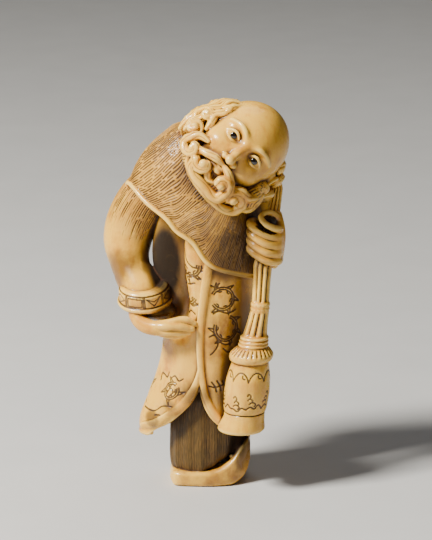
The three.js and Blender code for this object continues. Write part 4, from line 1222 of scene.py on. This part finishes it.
def make_hair():
    """Rows of curls round the back, curls at both temples and wavy locks over the right one."""
    hair = Group()

    def combed(local, points):
        lane = np.arctan2(local[:, 0], local[:, 1]) * 11 + 0.6 * np.sin(points[:, 2] * 0.9)
        line = groove(lane, 0.3)
        return 0.16 * line, 0.8 * smooth(line, 0.2, 0.85), points

    hair.add(Egg((0, 2.2, -3.6), (11.0, 8.9, 7.0), (6, 0, 0), finish="hair", carve=combed))
    hair.add(Egg((9.0, -2.6, -4.2), (2.2, 3.2, 3.4), finish="hair", carve=combed), 0.6)
    rows = [
        {"z": 3.2, "reach": 9.3, "from": 76, "count": 9, "radius": 1.8, "thick": 0.72},
        {"z": 0.3, "reach": 11.0, "from": 84, "count": 8, "radius": 2.35, "thick": 0.92},
        {"z": -3.9, "reach": 11.9, "from": 78, "count": 8, "radius": 2.5, "thick": 1.0},
        {"z": -8.0, "reach": 10.9, "from": 86, "count": 7, "radius": 2.4, "thick": 1.0},
    ]
    for row, plan in enumerate(rows):
        for k in range(plan["count"]):
            share = (k + (0.5 if row % 2 else 0.25 + 0.5 * (k > plan["count"] / 2))) / plan["count"]
            angle = math.radians(plan["from"] + (360 - 2 * plan["from"]) * share)
            z = plan["z"] + 0.5 * math.sin(3.1 * k + row)
            facing = (math.sin(angle), -math.cos(angle), z / 13)
            flat = math.hypot(facing[0], facing[1])
            reach = plan["reach"]
            centre = (facing[0] * reach / flat, facing[1] * reach * 0.9 / flat + 0.9, z)
            hand = 1 if (k + row) % 2 else -1
            start = (math.cos(2.3 * k + row) * -facing[1], math.cos(2.3 * k + row) * facing[0],
                     math.sin(2.3 * k + row) + 0.8)
            hair.add(side_curl(centre, facing, start, plan["radius"], plan["thick"], 1.35, hand), 0.12)
    hair.add(Egg((-9.5, 0.4, -2.2), (2.4, 3.8, 7.4), (0, 15, 0), finish="hair", carve=combed), 0.6)
    waves = [
        [(-7.2, -3.6, 5.0), (-8.3, -4.0, 3.4), (-8.3, -4.5, 1.4), (-9.3, -4.4, -0.5), (-8.6, -5.2, -2.4),
         (-8.3, -5.8, -4.0)],
        [(-7.9, -2.2, 5.2), (-9.5, -2.6, 3.4), (-9.7, -3.1, 1.2), (-10.8, -3.0, -0.8), (-10.6, -3.4, -3.4),
         (-11.4, -3.1, -5.6), (-11.0, -3.5, -8.0)],
        [(-8.3, -0.2, 5.0), (-10.3, -0.4, 2.4), (-11.0, -1.2, -0.2), (-11.9, -1.2, -3.0), (-12.2, -1.1, -6.2),
         (-11.8, -1.4, -8.8)],
    ]
    for way in waves:
        hair.add(Tube(way, [(0, 0.4), (0.2, 0.95), (0.5, 1.1), (0.8, 1.0), (1, 0.5)], toward=(0, 1, 0),
                      steps=5, finish="hair", carve=strands(5, 0.16)), 0.18)
    temple = [(-10.7, -4.2, -2.0, 1.8), (-10.2, -5.0, -6.0, 2.2), (-8.6, -4.6, 2.4, 1.3),
              (9.6, -4.6, -5.6, 1.8), (10.2, -3.4, -2.4, 1.5)]
    for k, (x, y, z, radius) in enumerate(temple):
        side = -1 if x < 0 else 1
        facing = (side * 0.45, -0.88, 0.14)
        start = (0.4 * math.cos(2.1 * k), 0.2, math.sin(2.1 * k) + 0.5)
        hand = 1 if k % 2 else -1
        hair.add(side_curl((x, y, z), facing, start, radius, 0.42 * radius, 1.05, hand), 0.22)
    return hair


def make_head():
    head = Group(HEAD_TURN, HEAD_CENTRE)
    head.add(make_face())
    head.add(make_hair(), 0.15)
    head.add(make_beard(), 0.12)
    return head


# ---- the whole figure -----------------------------------------------------------------------------

CORD_BORE = 1.6      # half its width


def make_cord_bore():
    """The pair of cord holes in the back, joined by a curved bore."""
    way = [(-3.6, 14, 43), (-3.2, 6.2, 42.4), (0.2, 4.4, 41.4), (3.6, 6.2, 40.4), (4.0, 14, 39.8)]
    return Tube(way, CORD_BORE, toward=(0, 0, 1), steps=6)


def make_cloth():
    """The robe, hollow under its hem, with its split and bands."""
    robe = make_robe()
    hollow = Column([[HEM - 2, -2.4, 0.2, 11.4, 6.2], [HEM + 1.5, -2.3, 0.1, 11.2, 6.4],
                     [HEM + 3.5, -2.0, 0.1, 9.0, 5.0]])
    cloth = Group()
    cloth.add(robe)
    cloth.cut(hollow, 0.3)
    cloth.cut(make_split(), 0.3)
    for band in make_bands(robe):
        cloth.add(band, 0.1)
    return cloth


def make_figure():
    """All the forms, joined from the robe outwards."""
    filling = Egg((13.7, -1.0, 69.1), (1.3, 1.8, 2.0))     # between the beard and the trumpet's shaft
    figure = Group()
    figure.add(make_cloth())
    figure.add(make_foot(), 0.08)
    figure.add(make_left_arm(), 0.3)
    figure.add(make_right_arm(), 0.3)
    figure.add(make_right_hand(), 0.08)
    figure.add(make_cape(), 0.1)
    figure.add(make_trumpet(), 0.08)
    figure.add(make_fist(), 0.08)
    figure.add(make_head(), 0.1)
    figure.add(filling, 0.4)
    figure.cut(make_cord_bore(), 0.5)
    return figure


PATINA_AND_SHADE = [     # where years of handling left the stain, and where shade is painted as dark colour: middle, reach and strength
    ((-9.8, -3.0, 51.5), (5.2, 7.8, 12.8), 1.0),      # between the arm and the robe: stain and painted shade
    ((-11.5, -4.0, 41.8), (5.5, 5.5, 2.4), 1.0),      # between the cuff and the hand: painted shade
    ((-13.6, -1.5, 50.0), (2.8, 5.0, 6.5), 0.7),      # the inside of the right elbow: stain and painted shade
    ((-18.4, -1.0, 50.0), (7.0, 6.0, 6.4), 0.55),     # the sleeve above the cuff: stain and painted shade
    ((7.0, -9.5, 55.0), (9.0, 4.0, 10.0), 0.74),      # the cape under the beard: painted shadow of the head, with stain
    ((-1.5, -9.5, 61.0), (7.0, 4.0, 6.0), 0.32),      # the middle of the cape
    ((7.6, -7.0, 38.0), (4.0, 6.0, 16.0), 0.66),      # the robe behind the trumpet: stain and painted shade
    ((3.0, -9.0, 31.0), (4.4, 4.0, 15.0), 0.36),      # the robe's left panel
    ((3.4, -8.6, 22.0), (3.0, 3.0, 5.0), 0.5),        # its lower end
    ((-7.4, -8.0, 46.0), (2.4, 4.0, 11.0), 0.6),      # the robe beside the armpit: painted shade
    ((6.5, -3.0, 8.6), (4.4, 5.0, 5.4), 0.95),        # inside the shoe's toe: painted shade
    ((0.0, -3.0, 2.6), (13.0, 14.0, 4.4), 0.30),      # the shoe: painted shade
    ((-2.0, -4.0, 22.5), (7.0, 8.0, 4.5), 0.8),       # the trousers under the robe: painted shade
    ((-7.5, -2.0, 16.0), (5.0, 8.0, 7.0), 0.7),       # the trousers' right side: painted shade
    ((-13.0, -6.0, 15.6), (2.4, 5.0, 2.6), 0.62),     # the robe's lower corner
    ((-9.6, -8.0, 19.4), (3.4, 3.0, 2.0), 0.5),       # along the left of the split
    ((11.4, -9.0, 15.5), (6.0, 7.0, 5.0), 0.24),      # the trumpet's mouth: painted shade
    ((13.0, -8.6, 62.7), (2.6, 2.4, 2.2), 0.9),       # inside the forefinger's loop: painted shade
    ((9.0, -9.0, 67.0), (6.0, 4.0, 3.0), 0.8),        # between the beard and the fist: painted shade
    ((-10.0, -6.0, 61.6), (4.0, 3.0, 2.0), 0.5),      # under the cape's edge: painted shade
    ((0.0, 0.0, -1.0), (20.0, 20.0, 2.0), 0.5),       # the rim that the figure stands on: painted shade next to the floor
]


def patina_and_shade_at(points):
    """How much stain from handling, and how much painted shade, each point gets."""
    stain = np.zeros(len(points))
    for middle, reach, strength in PATINA_AND_SHADE:
        away = np.linalg.norm((points - middle) / reach, axis=1)
        stain = np.maximum(stain, strength * (1 - smooth(away, 0.45, 1.15)))
    return stain


# ---- one skin round all the forms -------------------------------------------------------------------

def spread(values, axis_sizes):
    """Each value of a coarse grid for the finer nodes nearest to it."""
    for axis, size in enumerate(axis_sizes):
        nearest = np.minimum((np.arange(size) + 1) // 2, values.shape[axis] - 1)
        values = np.take(values, nearest, axis=axis)
    return values


def sample(form):
    """Distances on a fine grid, worked out only near the skin: coarse, finer, finest."""
    low = form.low - MARGIN
    size = form.high + MARGIN - low
    spacing = FINE * 4
    count = np.ceil(size / spacing).astype(int) + 1
    index = np.indices(count).reshape(3, -1).T
    values = form.measure(low + index * spacing).reshape(count)
    for _ in range(2):
        near = 0.9 * spacing + spacing
        spacing /= 2
        count = (count - 1) * 2 + 1
        values = spread(values, count)
        index = np.argwhere(np.abs(values) < near)
        found = np.empty(len(index))
        for start in range(0, len(index), BATCH):
            part = index[start:start + BATCH]
            found[start:start + BATCH] = form.measure(low + part * spacing)
        values[tuple(index.T)] = found
    return low, spacing, values.astype(np.float32)


def draw_skin(low, spacing, values):
    """Corner points and triangles of the surface where the distance is 0."""
    band = 3 * spacing
    grid = openvdb.FloatGrid(band)
    grid.copyFromArray(np.clip(values, -band, band))
    grid.transform = openvdb.createLinearTransform(voxelSize=spacing)
    points, triangles, quads = grid.convertToPolygons(0.0, 0.0)
    faces = np.vstack([quads[:, [0, 1, 2]], quads[:, [0, 2, 3]]]).astype(np.int32)
    if len(triangles):
        faces = np.vstack([faces, triangles.astype(np.int32)])
    return points + low, faces


def largest_part(points, faces):
    """Leaves out specks that float free of the main skin."""
    label = np.arange(len(points))
    edges = np.vstack([faces[:, [0, 1]], faces[:, [1, 2]]])
    while True:
        least = np.minimum(label[edges[:, 0]], label[edges[:, 1]])
        fresh = label.copy()
        np.minimum.at(fresh, edges[:, 0], least)
        np.minimum.at(fresh, edges[:, 1], least)
        fresh = fresh[fresh]
        if (fresh == label).all():
            break
        label = fresh
    main = np.bincount(label).argmax()
    keep = label == main
    number = np.cumsum(keep) - 1
    faces = faces[keep[faces[:, 0]]]
    return points[keep], number[faces].astype(np.int32)


def mesh_of(name, points, faces):
    """A mesh of triangles."""
    mesh = bpy.data.meshes.new(name)
    mesh.vertices.add(len(points))
    mesh.vertices.foreach_set("co", np.ascontiguousarray(points, np.float32).ravel())
    mesh.loops.add(faces.size)
    mesh.loops.foreach_set("vertex_index", np.ascontiguousarray(faces, np.int32).ravel())
    mesh.polygons.add(len(faces))
    mesh.polygons.foreach_set("loop_start", np.arange(0, faces.size, 3, dtype=np.int32))
    mesh.update(calc_edges=True)
    return mesh


def placed(name, data):
    """A new object in the scene, made from a mesh, a light or a camera."""
    thing = bpy.data.objects.new(name, data)
    bpy.context.scene.collection.objects.link(thing)
    return thing


def thinned(mesh, faces):
    """The same mesh with about the given number of triangles, most of them where it bends."""
    maker = placed("thinning", mesh)
    modifier = maker.modifiers.new("fewer", "DECIMATE")
    modifier.ratio = min(1.0, faces / len(mesh.polygons))
    graph = bpy.context.evaluated_depsgraph_get()
    made = bpy.data.meshes.new_from_object(maker.evaluated_get(graph))
    bpy.data.objects.remove(maker)
    return made


def blurred(values, cells):
    """A box blur of a grid, cells wide each way, done twice."""
    for _ in range(2):
        for axis in range(3):
            pad = [(0, 0)] * 3
            pad[axis] = (cells + 1, cells)
            total = np.cumsum(np.pad(values, pad, mode="edge"), axis=axis, dtype=np.float32)
            size = values.shape[axis]
            high = np.take(total, np.arange(size) + 2 * cells + 1, axis=axis)
            values = (high - np.take(total, np.arange(size), axis=axis)) / (2 * cells + 1)
    return values


def read_grid(values, low, spacing, points):
    """The grid's values at points between its nodes."""
    at = np.clip((points - low) / spacing, 0, np.array(values.shape) - 1.001)
    base = at.astype(int)
    share = at - base
    total = np.zeros(len(points))
    for corner in np.ndindex(2, 2, 2):
        weight = np.prod(np.where(corner, share, 1 - share), axis=1)
        total += weight * values[tuple((base + corner).T)]
    return total


def hollowness(low, spacing, values, points):
    """How much ivory surrounds each point at a small, a middling and a wide reach."""
    small_reach, coarse_pitch = 0.34, 0.68
    filled = np.clip(0.5 - values / spacing, 0, 1).astype(np.float32)
    fine = read_grid(blurred(filled, max(1, round(small_reach / spacing))), low, spacing, points)
    step = max(1, round(coarse_pitch / spacing))
    coarse = filled[::step, ::step, ::step]
    middle = read_grid(blurred(coarse, 1), low, spacing * step, points)
    wide = read_grid(blurred(coarse, 4), low, spacing * step, points)
    return fine, middle, wide


def put(mesh, name, values):
    """Stores one number or one vector for every corner point."""
    values = np.asarray(values, np.float32)
    kind = "FLOAT" if values.ndim == 1 else "FLOAT_VECTOR"
    attribute = mesh.attributes.new(name, kind, "POINT")
    attribute.data.foreach_set("value" if values.ndim == 1 else "vector", values.ravel())


def carve_figure():
    """The carving in one mesh, with what its material reads stored on its corner points."""
    figure = make_figure()
    low, spacing, values = sample(figure)
    points, faces = largest_part(*draw_skin(low, spacing, values))
    mesh = thinned(mesh_of("ivory", points, faces), FACES)
    count = len(mesh.vertices)
    points = np.empty(count * 3, np.float32)
    mesh.vertices.foreach_get("co", points)
    points = points.reshape(-1, 3).astype(float)
    _, mark, grain = figure.measure(points, full=True)
    fine, middle, wide = hollowness(low, spacing, values, points)
    put(mesh, "cut_line", mark)
    put(mesh, "grain", grain)
    put(mesh, "crease", fine)
    put(mesh, "hollow", middle)
    put(mesh, "depth", wide)
    put(mesh, "patina_and_shade", patina_and_shade_at(points))
    for name in FINISHES[1:]:
        put(mesh, name, (figure.finishes == FINISHES.index(name)).astype(float))
    mesh.vertices.foreach_set("co", (points * MM).astype(np.float32).ravel())
    mesh.polygons.foreach_set("use_smooth", np.ones(len(mesh.polygons), bool))
    mesh.update()
    return placed("carved_figure", mesh)


# ---- materials ------------------------------------------------------------------------------------

class Value:
    """A shader socket that can stand in sums; each operator adds the Math node that works it out."""

    def __init__(self, paint, socket):
        self.paint = paint
        self.socket = socket

    def math(self, operation, *others):
        return self.paint.node("ShaderNodeMath", {"operation": operation}, self, *others)

    def __add__(self, other):
        return self.math("ADD", other)

    def __sub__(self, other):
        return self.math("SUBTRACT", other)

    def __rsub__(self, other):
        return self.paint.node("ShaderNodeMath", {"operation": "SUBTRACT"}, other, self)

    def __mul__(self, other):
        return self.math("MULTIPLY", other)

    def __truediv__(self, other):
        return self.math("DIVIDE", other)

    def __mod__(self, other):
        return self.math("FLOORED_MODULO", other)

    def __abs__(self):
        return self.math("ABSOLUTE")

    def __round__(self):
        return self.math("ROUND")

    __radd__ = __add__
    __rmul__ = __mul__


class Paint:
    """A material with its nodes; what varies feeds only the sockets that can be baked."""

    def __init__(self, name, **constants):
        self.material = bpy.data.materials.new(name)
        self.material.use_nodes = True
        self.tree = self.material.node_tree
        self.shader = self.tree.nodes["Principled BSDF"]
        for socket, value in constants.items():
            self.shader.inputs[socket.replace("_", " ")].default_value = value

    def node(self, kind, settings=None, *values, output=0, **named):
        """Adds a node: its settings first, then its sockets by order or by name."""
        made = self.tree.nodes.new(kind)
        for setting, value in (settings or {}).items():
            setattr(made, setting, value)
        wanted = list(enumerate(values)) + [(name.replace("_", " "), v) for name, v in named.items()]
        for key, value in wanted:
            self.fill(made.inputs[key], value)
        return Value(self, made.outputs[output])

    def fill(self, socket, value):
        """Links a value to a socket, or sets a plain number, vector or colour there."""
        if isinstance(value, Value):
            self.tree.links.new(value.socket, socket)
        else:
            socket.default_value = value

    def attribute(self, name, output="Fac"):
        return self.node("ShaderNodeAttribute", {"attribute_name": name}, output=output)

    def rise(self, value, low, high, start=0.0, end=1.0):
        """start below low, end above high, and an even rise between them."""
        return self.node("ShaderNodeMapRange", {"interpolation_type": "SMOOTHSTEP"},
                         value, low, high, start, end)

    def mix(self, share, first, second):
        """The first colour, with a share from 0 to 1 of the second laid over it."""
        made = self.tree.nodes.new("ShaderNodeMix")
        made.data_type = "RGBA"
        made.clamp_factor = True
        colours = [socket for socket in made.inputs if socket.type == "RGBA"]
        for socket, value in zip([made.inputs[0]] + colours, (share, first, second)):
            self.fill(socket, value)
        return Value(self, next(socket for socket in made.outputs if socket.type == "RGBA"))

    def parts(self, vector):
        """The three numbers of a vector."""
        made = self.tree.nodes.new("ShaderNodeSeparateXYZ")
        self.fill(made.inputs[0], vector)
        return [Value(self, socket) for socket in made.outputs]

    def noise(self, vector, scale, detail, rough=0.55):
        return self.node("ShaderNodeTexNoise", None, Vector=vector, Scale=scale, Detail=detail,
                         Roughness=rough)

    def stretched(self, vector, scale):
        return self.node("ShaderNodeVectorMath", {"operation": "MULTIPLY"}, vector, scale)

    def bump(self, height, distance, strength, under=None):
        """Fine relief, in metres, over the relief of the bump under it."""
        named = {"Strength": strength, "Distance": distance, "Height": height}
        if under is not None:
            named["Normal"] = under
        return self.node("ShaderNodeBump", None, **named)

    def feed(self, **links):
        """Links what varies to the surface shader."""
        for socket, value in links.items():
            self.fill(self.shader.inputs[socket.replace("_", " ")], value)
        return self.material


def rgb(red, green, blue):
    """A colour given as it looks on a screen, 0 to 255."""
    def linear(value):
        value /= 255
        return value / 12.92 if value <= 0.04045 else ((value + 0.055) / 1.055) ** 2.4
    return (linear(red), linear(green), linear(blue), 1.0)


def painted_cuts(paint, grain, masks):
    """The stain in the short cuts of the straw, the sleeve and the trousers, line for line."""
    across, beside, along = paint.parts(grain)
    along = along + masks["trousers"] * TROUSER_SHIFT
    count = sum(masks[name] * (LANES[name] / FULL_TURN) for name in LANES)
    lane = beside.math("ARCTAN2", across) * count
    number = round(lane)
    length = CUT_LENGTH + CUT_LENGTH * chance(number)
    start = (along / length + 7.0 * chance(number, 1)) % 1.0
    dash = paint.rise(start, 0.0, 0.08) * paint.rise(start, 0.84, 0.97, 1.0, 0.0)
    line = 1 - abs(lane - number) / 0.42
    stain = paint.rise(line * dash * (0.2 + 0.8 * chance(number, 2)), 0.08, 0.55)
    ragged = along + SLEEVE_RAGGED * (chance(number, 3) - 0.5)
    upper = paint.rise(ragged, *SLEEVE_CUTS, 1.0, 0.0)
    return stain * (masks["straw"] + masks["sleeve"] * upper + 0.35 * masks["trousers"])


def old_ivory():
    """Polished ivory: cream, lighter on the heights for wear and as a painted highlight, amber stain with
    painted shade in the hollows, painted shade down to near black in the recesses and under parts, brown
    stain in every cut.
    """
    paint = Paint("old_ivory", IOR=1.54, Specular_IOR_Level=0.28, Coat_Roughness=0.10,
                  Subsurface_Weight=0.12, Subsurface_Scale=0.0010, Subsurface_Radius=(1.0, 0.62, 0.34))
    place = paint.node("ShaderNodeTexCoord", output="Object")
    grain = paint.attribute("grain", "Vector")
    cut = paint.attribute("cut_line")
    crease, hollow, depth = (paint.attribute(name) for name in ("crease", "hollow", "depth"))
    patina_and_shade = paint.attribute("patina_and_shade")
    masks = {name: paint.attribute(name) for name in FINISHES[1:]}
    trousers, hair, painted_shade_hole = masks["trousers"], masks["hair"], masks["painted_shade_hole"]
    upper = paint.rise(paint.parts(grain)[2], *SLEEVE_CUTS, 1.0, 0.0)
    straw = masks["straw"] + masks["sleeve"] * (0.12 + 0.55 * upper)

    clouds = paint.noise(place, 95.0, 4.0)
    stains = paint.noise(place, 210.0, 4.0, 0.6)
    mottle = paint.noise(place, 420.0, 3.0)
    streak = paint.noise(paint.stretched(grain, (1.9, 1.9, 0.20)), 1.0, 3.0, 0.6)
    fibre = paint.noise(paint.stretched(grain, (5.2, 5.2, 0.42)), 1.0, 2.0, 0.6)
    veins = paint.noise(paint.stretched(place, (700.0, 700.0, 60.0)), 1.0, 3.0)

    cream, honey, amber = rgb(242, 186, 68), rgb(208, 130, 34), rgb(122, 68, 16)
    brown, umber = rgb(58, 32, 12), rgb(38, 26, 12)
    tone = paint.rise(clouds + 0.5 * (mottle - 0.5), 0.42, 0.70)
    colour = paint.mix(tone * (0.6 - 0.4 * masks["skin"]), cream, honey)
    colour = paint.mix(paint.rise(veins, 0.5, 0.75) * 0.35, colour, honey)
    colour = paint.mix(paint.rise(stains + 0.4 * (clouds - 0.5), 0.56, 0.74) * 0.55, colour,
                       rgb(186, 116, 30))
    straw_base = paint.mix(streak, rgb(224, 168, 72), rgb(136, 88, 28))
    straw_base = paint.mix(paint.rise(clouds + 0.3 * (stains - 0.5), 0.48, 0.68) * 0.55, straw_base,
                           rgb(98, 72, 32))
    colour = paint.mix(straw * 0.85, colour, straw_base)
    # amber in the middling hollows: patina, together with painted shade
    sunk = paint.rise(hollow + 0.14 * (clouds - 0.5), 0.49, 0.70)
    colour = paint.mix(sunk * 0.85, colour, amber)
    # painted shade: dark brown in the wide hollows between and under parts
    deep = paint.rise(depth + 0.08 * (clouds - 0.5), 0.50, 0.70)
    colour = paint.mix(deep * 0.9, colour, rgb(58, 34, 12))
    # brown from the spots above: stain from handling, and painted shade in the recesses and under parts
    stain_and_painted_shade = paint.rise(patina_and_shade + 0.5 * (clouds - 0.5) + 0.35 * (mottle - 0.5), 0.08, 0.62)
    colour = paint.mix(stain_and_painted_shade * 0.8, colour, rgb(104, 72, 26))
    # painted shade, down to near black, in the darkest recesses and between parts
    painted_black_shade = paint.rise(patina_and_shade + 0.25 * (clouds - 0.5), 0.55, 0.95)
    colour = paint.mix(painted_black_shade * 0.96, colour, rgb(22, 11, 4))
    # lighter on the convex heights: wear from handling, and a painted highlight
    wear_and_highlight = paint.rise(crease, 0.47, 0.36)
    colour = paint.mix(wear_and_highlight * (1 - 0.8 * stain_and_painted_shade) * 0.7, colour, rgb(255, 216, 116))

    umbered = paint.mix(paint.rise(fibre + 0.5 * (clouds - 0.5), 0.35, 0.65), umber, rgb(84, 60, 26))
    # the same painted shade, near black, on the trousers under the robe
    umbered = paint.mix(painted_black_shade * 0.8, umbered, rgb(26, 16, 8))
    colour = paint.mix(trousers * 0.94, colour, umbered)
    # brown in the tight creases: stain, together with painted shade
    pit = paint.rise(crease, 0.55, 0.72)
    colour = paint.mix(pit * 0.88, colour, brown)
    # painted shade: dark brown in holes and recesses
    colour = paint.mix(painted_shade_hole * 0.9, colour, rgb(40, 22, 8))
    cuts = painted_cuts(paint, grain, masks) * paint.rise(clouds, 0.2, 0.6, 0.6, 1.0)
    colour = paint.mix(cuts * 0.88, colour, rgb(50, 27, 10))
    inked = paint.rise(cut, 0.20, 0.62) * paint.rise(mottle, 0.25, 0.6, 0.8, 1.0)
    colour = paint.mix(inked * 0.9, colour, rgb(48, 26, 10))

    rough = 0.27 + 0.16 * sunk + 0.20 * straw + 0.22 * trousers + 0.10 * inked - 0.05 * wear_and_highlight
    rough = rough + 0.10 * (mottle - 0.5) + 0.5 * painted_black_shade
    coat = (1 - 0.85 * trousers) * (1 - 0.6 * sunk) * (1 - 0.75 * straw) * (1 - painted_black_shade) * 0.32
    combing = straw * 0.8 + trousers * 0.8 + hair * 0.4
    scratch = paint.bump(0.6 * streak * combing - 0.8 * cuts + 0.15 * fibre, 0.00020, 0.9)
    pores = paint.bump(mottle + 0.4 * veins, 0.00003, 0.35, scratch)
    return paint.feed(Base_Color=colour, Roughness=rough, Coat_Weight=coat, Normal=pores)


def dark_horn():
    """Polished buffalo horn: nearly black, with faint brown growth lines."""
    paint = Paint("dark_horn", IOR=1.54, Coat_Weight=0.8, Coat_Roughness=0.04)
    place = paint.node("ShaderNodeTexCoord", output="Object")
    lines = paint.noise(paint.stretched(place, (1500.0, 1500.0, 300.0)), 1.0, 3.0)
    colour = paint.mix(paint.rise(lines, 0.45, 0.75) * 0.7, rgb(14, 9, 7), rgb(62, 34, 20))
    return paint.feed(Base_Color=colour, Roughness=0.10 + 0.12 * lines)


def pale_floor():
    """A plain light grey ground, very faintly clouded."""
    paint = Paint("pale_floor")
    place = paint.node("ShaderNodeTexCoord", output="Object")
    speck = paint.noise(place, 60.0, 4.0)
    colour = paint.mix(speck, rgb(196, 195, 193), rgb(204, 203, 201))
    return paint.feed(Base_Color=colour, Roughness=0.55 + 0.1 * speck)


# ---- the inlaid pupils ----------------------------------------------------------------------------

PUPIL_RADIUS = 0.85
PUPIL_DOME = 0.42        # how far its round end stands out
PUPIL_DEPTH = 2.2
PUPIL_EDGE = 0.05        # the bevel round its inner end


def make_pupil(node, horn):
    """A round-ended horn plug, turned from an outline and set where the frame has it."""
    low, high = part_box(node)
    sides, rings = 48, 12
    t = np.linspace(0, math.pi / 2, rings)
    outline = [(0.0, -PUPIL_DEPTH), (PUPIL_RADIUS - PUPIL_EDGE, -PUPIL_DEPTH),
               (PUPIL_RADIUS, -PUPIL_DEPTH + PUPIL_EDGE)]
    outline += [(PUPIL_RADIUS * math.cos(a), PUPIL_DOME * math.sin(a)) for a in t[:-1]]
    points = [(0.0, 0.0, -PUPIL_DEPTH)]
    for r, h in outline[1:]:
        for k in range(sides):
            a = FULL_TURN * k / sides
            points.append((math.cos(a) * r, math.sin(a) * r, h))
    points.append((0.0, 0.0, PUPIL_DOME))
    faces = [(0, 1 + (k + 1) % sides, 1 + k) for k in range(sides)]
    for ring in range(len(outline) - 2):
        first, second = 1 + ring * sides, 1 + (ring + 1) * sides
        for k in range(sides):
            j = (k + 1) % sides
            faces.append((first + k, first + j, second + j, second + k))
    last = 1 + (len(outline) - 2) * sides
    faces += [(last + k, last + (k + 1) % sides, len(points) - 1) for k in range(sides)]
    facing = HEAD_TURN @ turned(x=90)
    points = np.asarray(points) @ facing.T
    middle = (np.array(low) + np.array(high)) / 2
    points = points * MM + middle - (points.min(0) + points.max(0)) / 2 * MM
    mesh = bpy.data.meshes.new(node + "_dome")
    mesh.from_pydata(points.tolist(), [], faces)
    mesh.update()
    mesh.polygons.foreach_set("use_smooth", np.ones(len(mesh.polygons), bool))
    mesh.materials.append(horn)
    return placed(node + "_dome", mesh)


# ---- floor, light and camera ----------------------------------------------------------------------

def make_floor():
    half = 3.0           # metres
    points = [(-half, -half, 0), (half, -half, 0), (half, half, 0), (-half, half, 0)]
    mesh = bpy.data.meshes.new("floor")
    mesh.from_pydata(points, [], [(0, 1, 2, 3)])
    mesh.materials.append(pale_floor())
    placed("floor", mesh)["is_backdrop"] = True


def area_light(name, place, target, size, power, colour):
    data = bpy.data.lights.new(name, "AREA")
    data.shape = "RECTANGLE"
    data.size, data.size_y = size
    data.energy = power
    data.color = colour
    lamp = placed(name, data)
    lamp.location = place
    lamp.rotation_euler = (Vector(target) - Vector(place)).to_track_quat("-Z", "Y").to_euler()


def light_scene(middle):
    """A warm key light from the upper left, a weak cool fill, and a soft light above and behind."""
    area_light("key", (-0.42, -0.24, 0.52), middle, (0.14, 0.14), 13.0, (1.0, 0.97, 0.90))
    area_light("fill", (0.50, -0.42, 0.22), middle, (0.5, 0.4), 0.08, (0.95, 0.97, 1.0))
    area_light("top", (0.05, 0.25, 0.60), middle, (0.4, 0.3), 0.6, (1.0, 1.0, 1.0))
    world = bpy.data.worlds.new("studio")
    bpy.context.scene.world = world
    world.use_nodes = True
    background = world.node_tree.nodes["Background"]
    background.inputs["Color"].default_value = (0.86, 0.88, 0.92, 1)
    background.inputs["Strength"].default_value = 0.05


ELEVATION = math.radians(15)
LENS, SENSOR = 200.0, 36.0
VIEW_HEIGHT = 122.7          # millimetres of the figure's plane that the picture's height takes in
LOOK_AT = (1.8, 0.0, 49.4)   # the point, in millimetres, that the camera faces


def place_camera():
    """Sets the camera and returns the point that it looks at."""
    target = Vector([part * MM for part in LOOK_AT])
    away = VIEW_HEIGHT * MM * LENS / SENSOR
    data = bpy.data.cameras.new("camera")
    data.lens = LENS
    data.sensor_fit = "VERTICAL"
    data.sensor_height = SENSOR
    camera = placed("camera", data)
    camera.location = target + Vector((0, -math.cos(ELEVATION), math.sin(ELEVATION))) * away
    camera.rotation_euler = (math.pi / 2 - ELEVATION, 0, 0)
    bpy.context.scene.camera = camera
    return target


# ---- the scene ------------------------------------------------------------------------------------

middle = place_camera()
light_scene(middle)
make_floor()

carving = carve_figure()
carving.data.materials.append(old_ivory())
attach(carving, BODY)
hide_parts("ivory_figure")

horn = dark_horn()
for node in ("right_pupil", "left_pupil"):
    pupil = make_pupil(node, horn)
    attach(pupil, BODY)
    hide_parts(node)

VISUAL_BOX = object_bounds()
({"cad": [list(corner) for corner in CAD_BOX],
           "visual": [list(corner) for corner in VISUAL_BOX]})
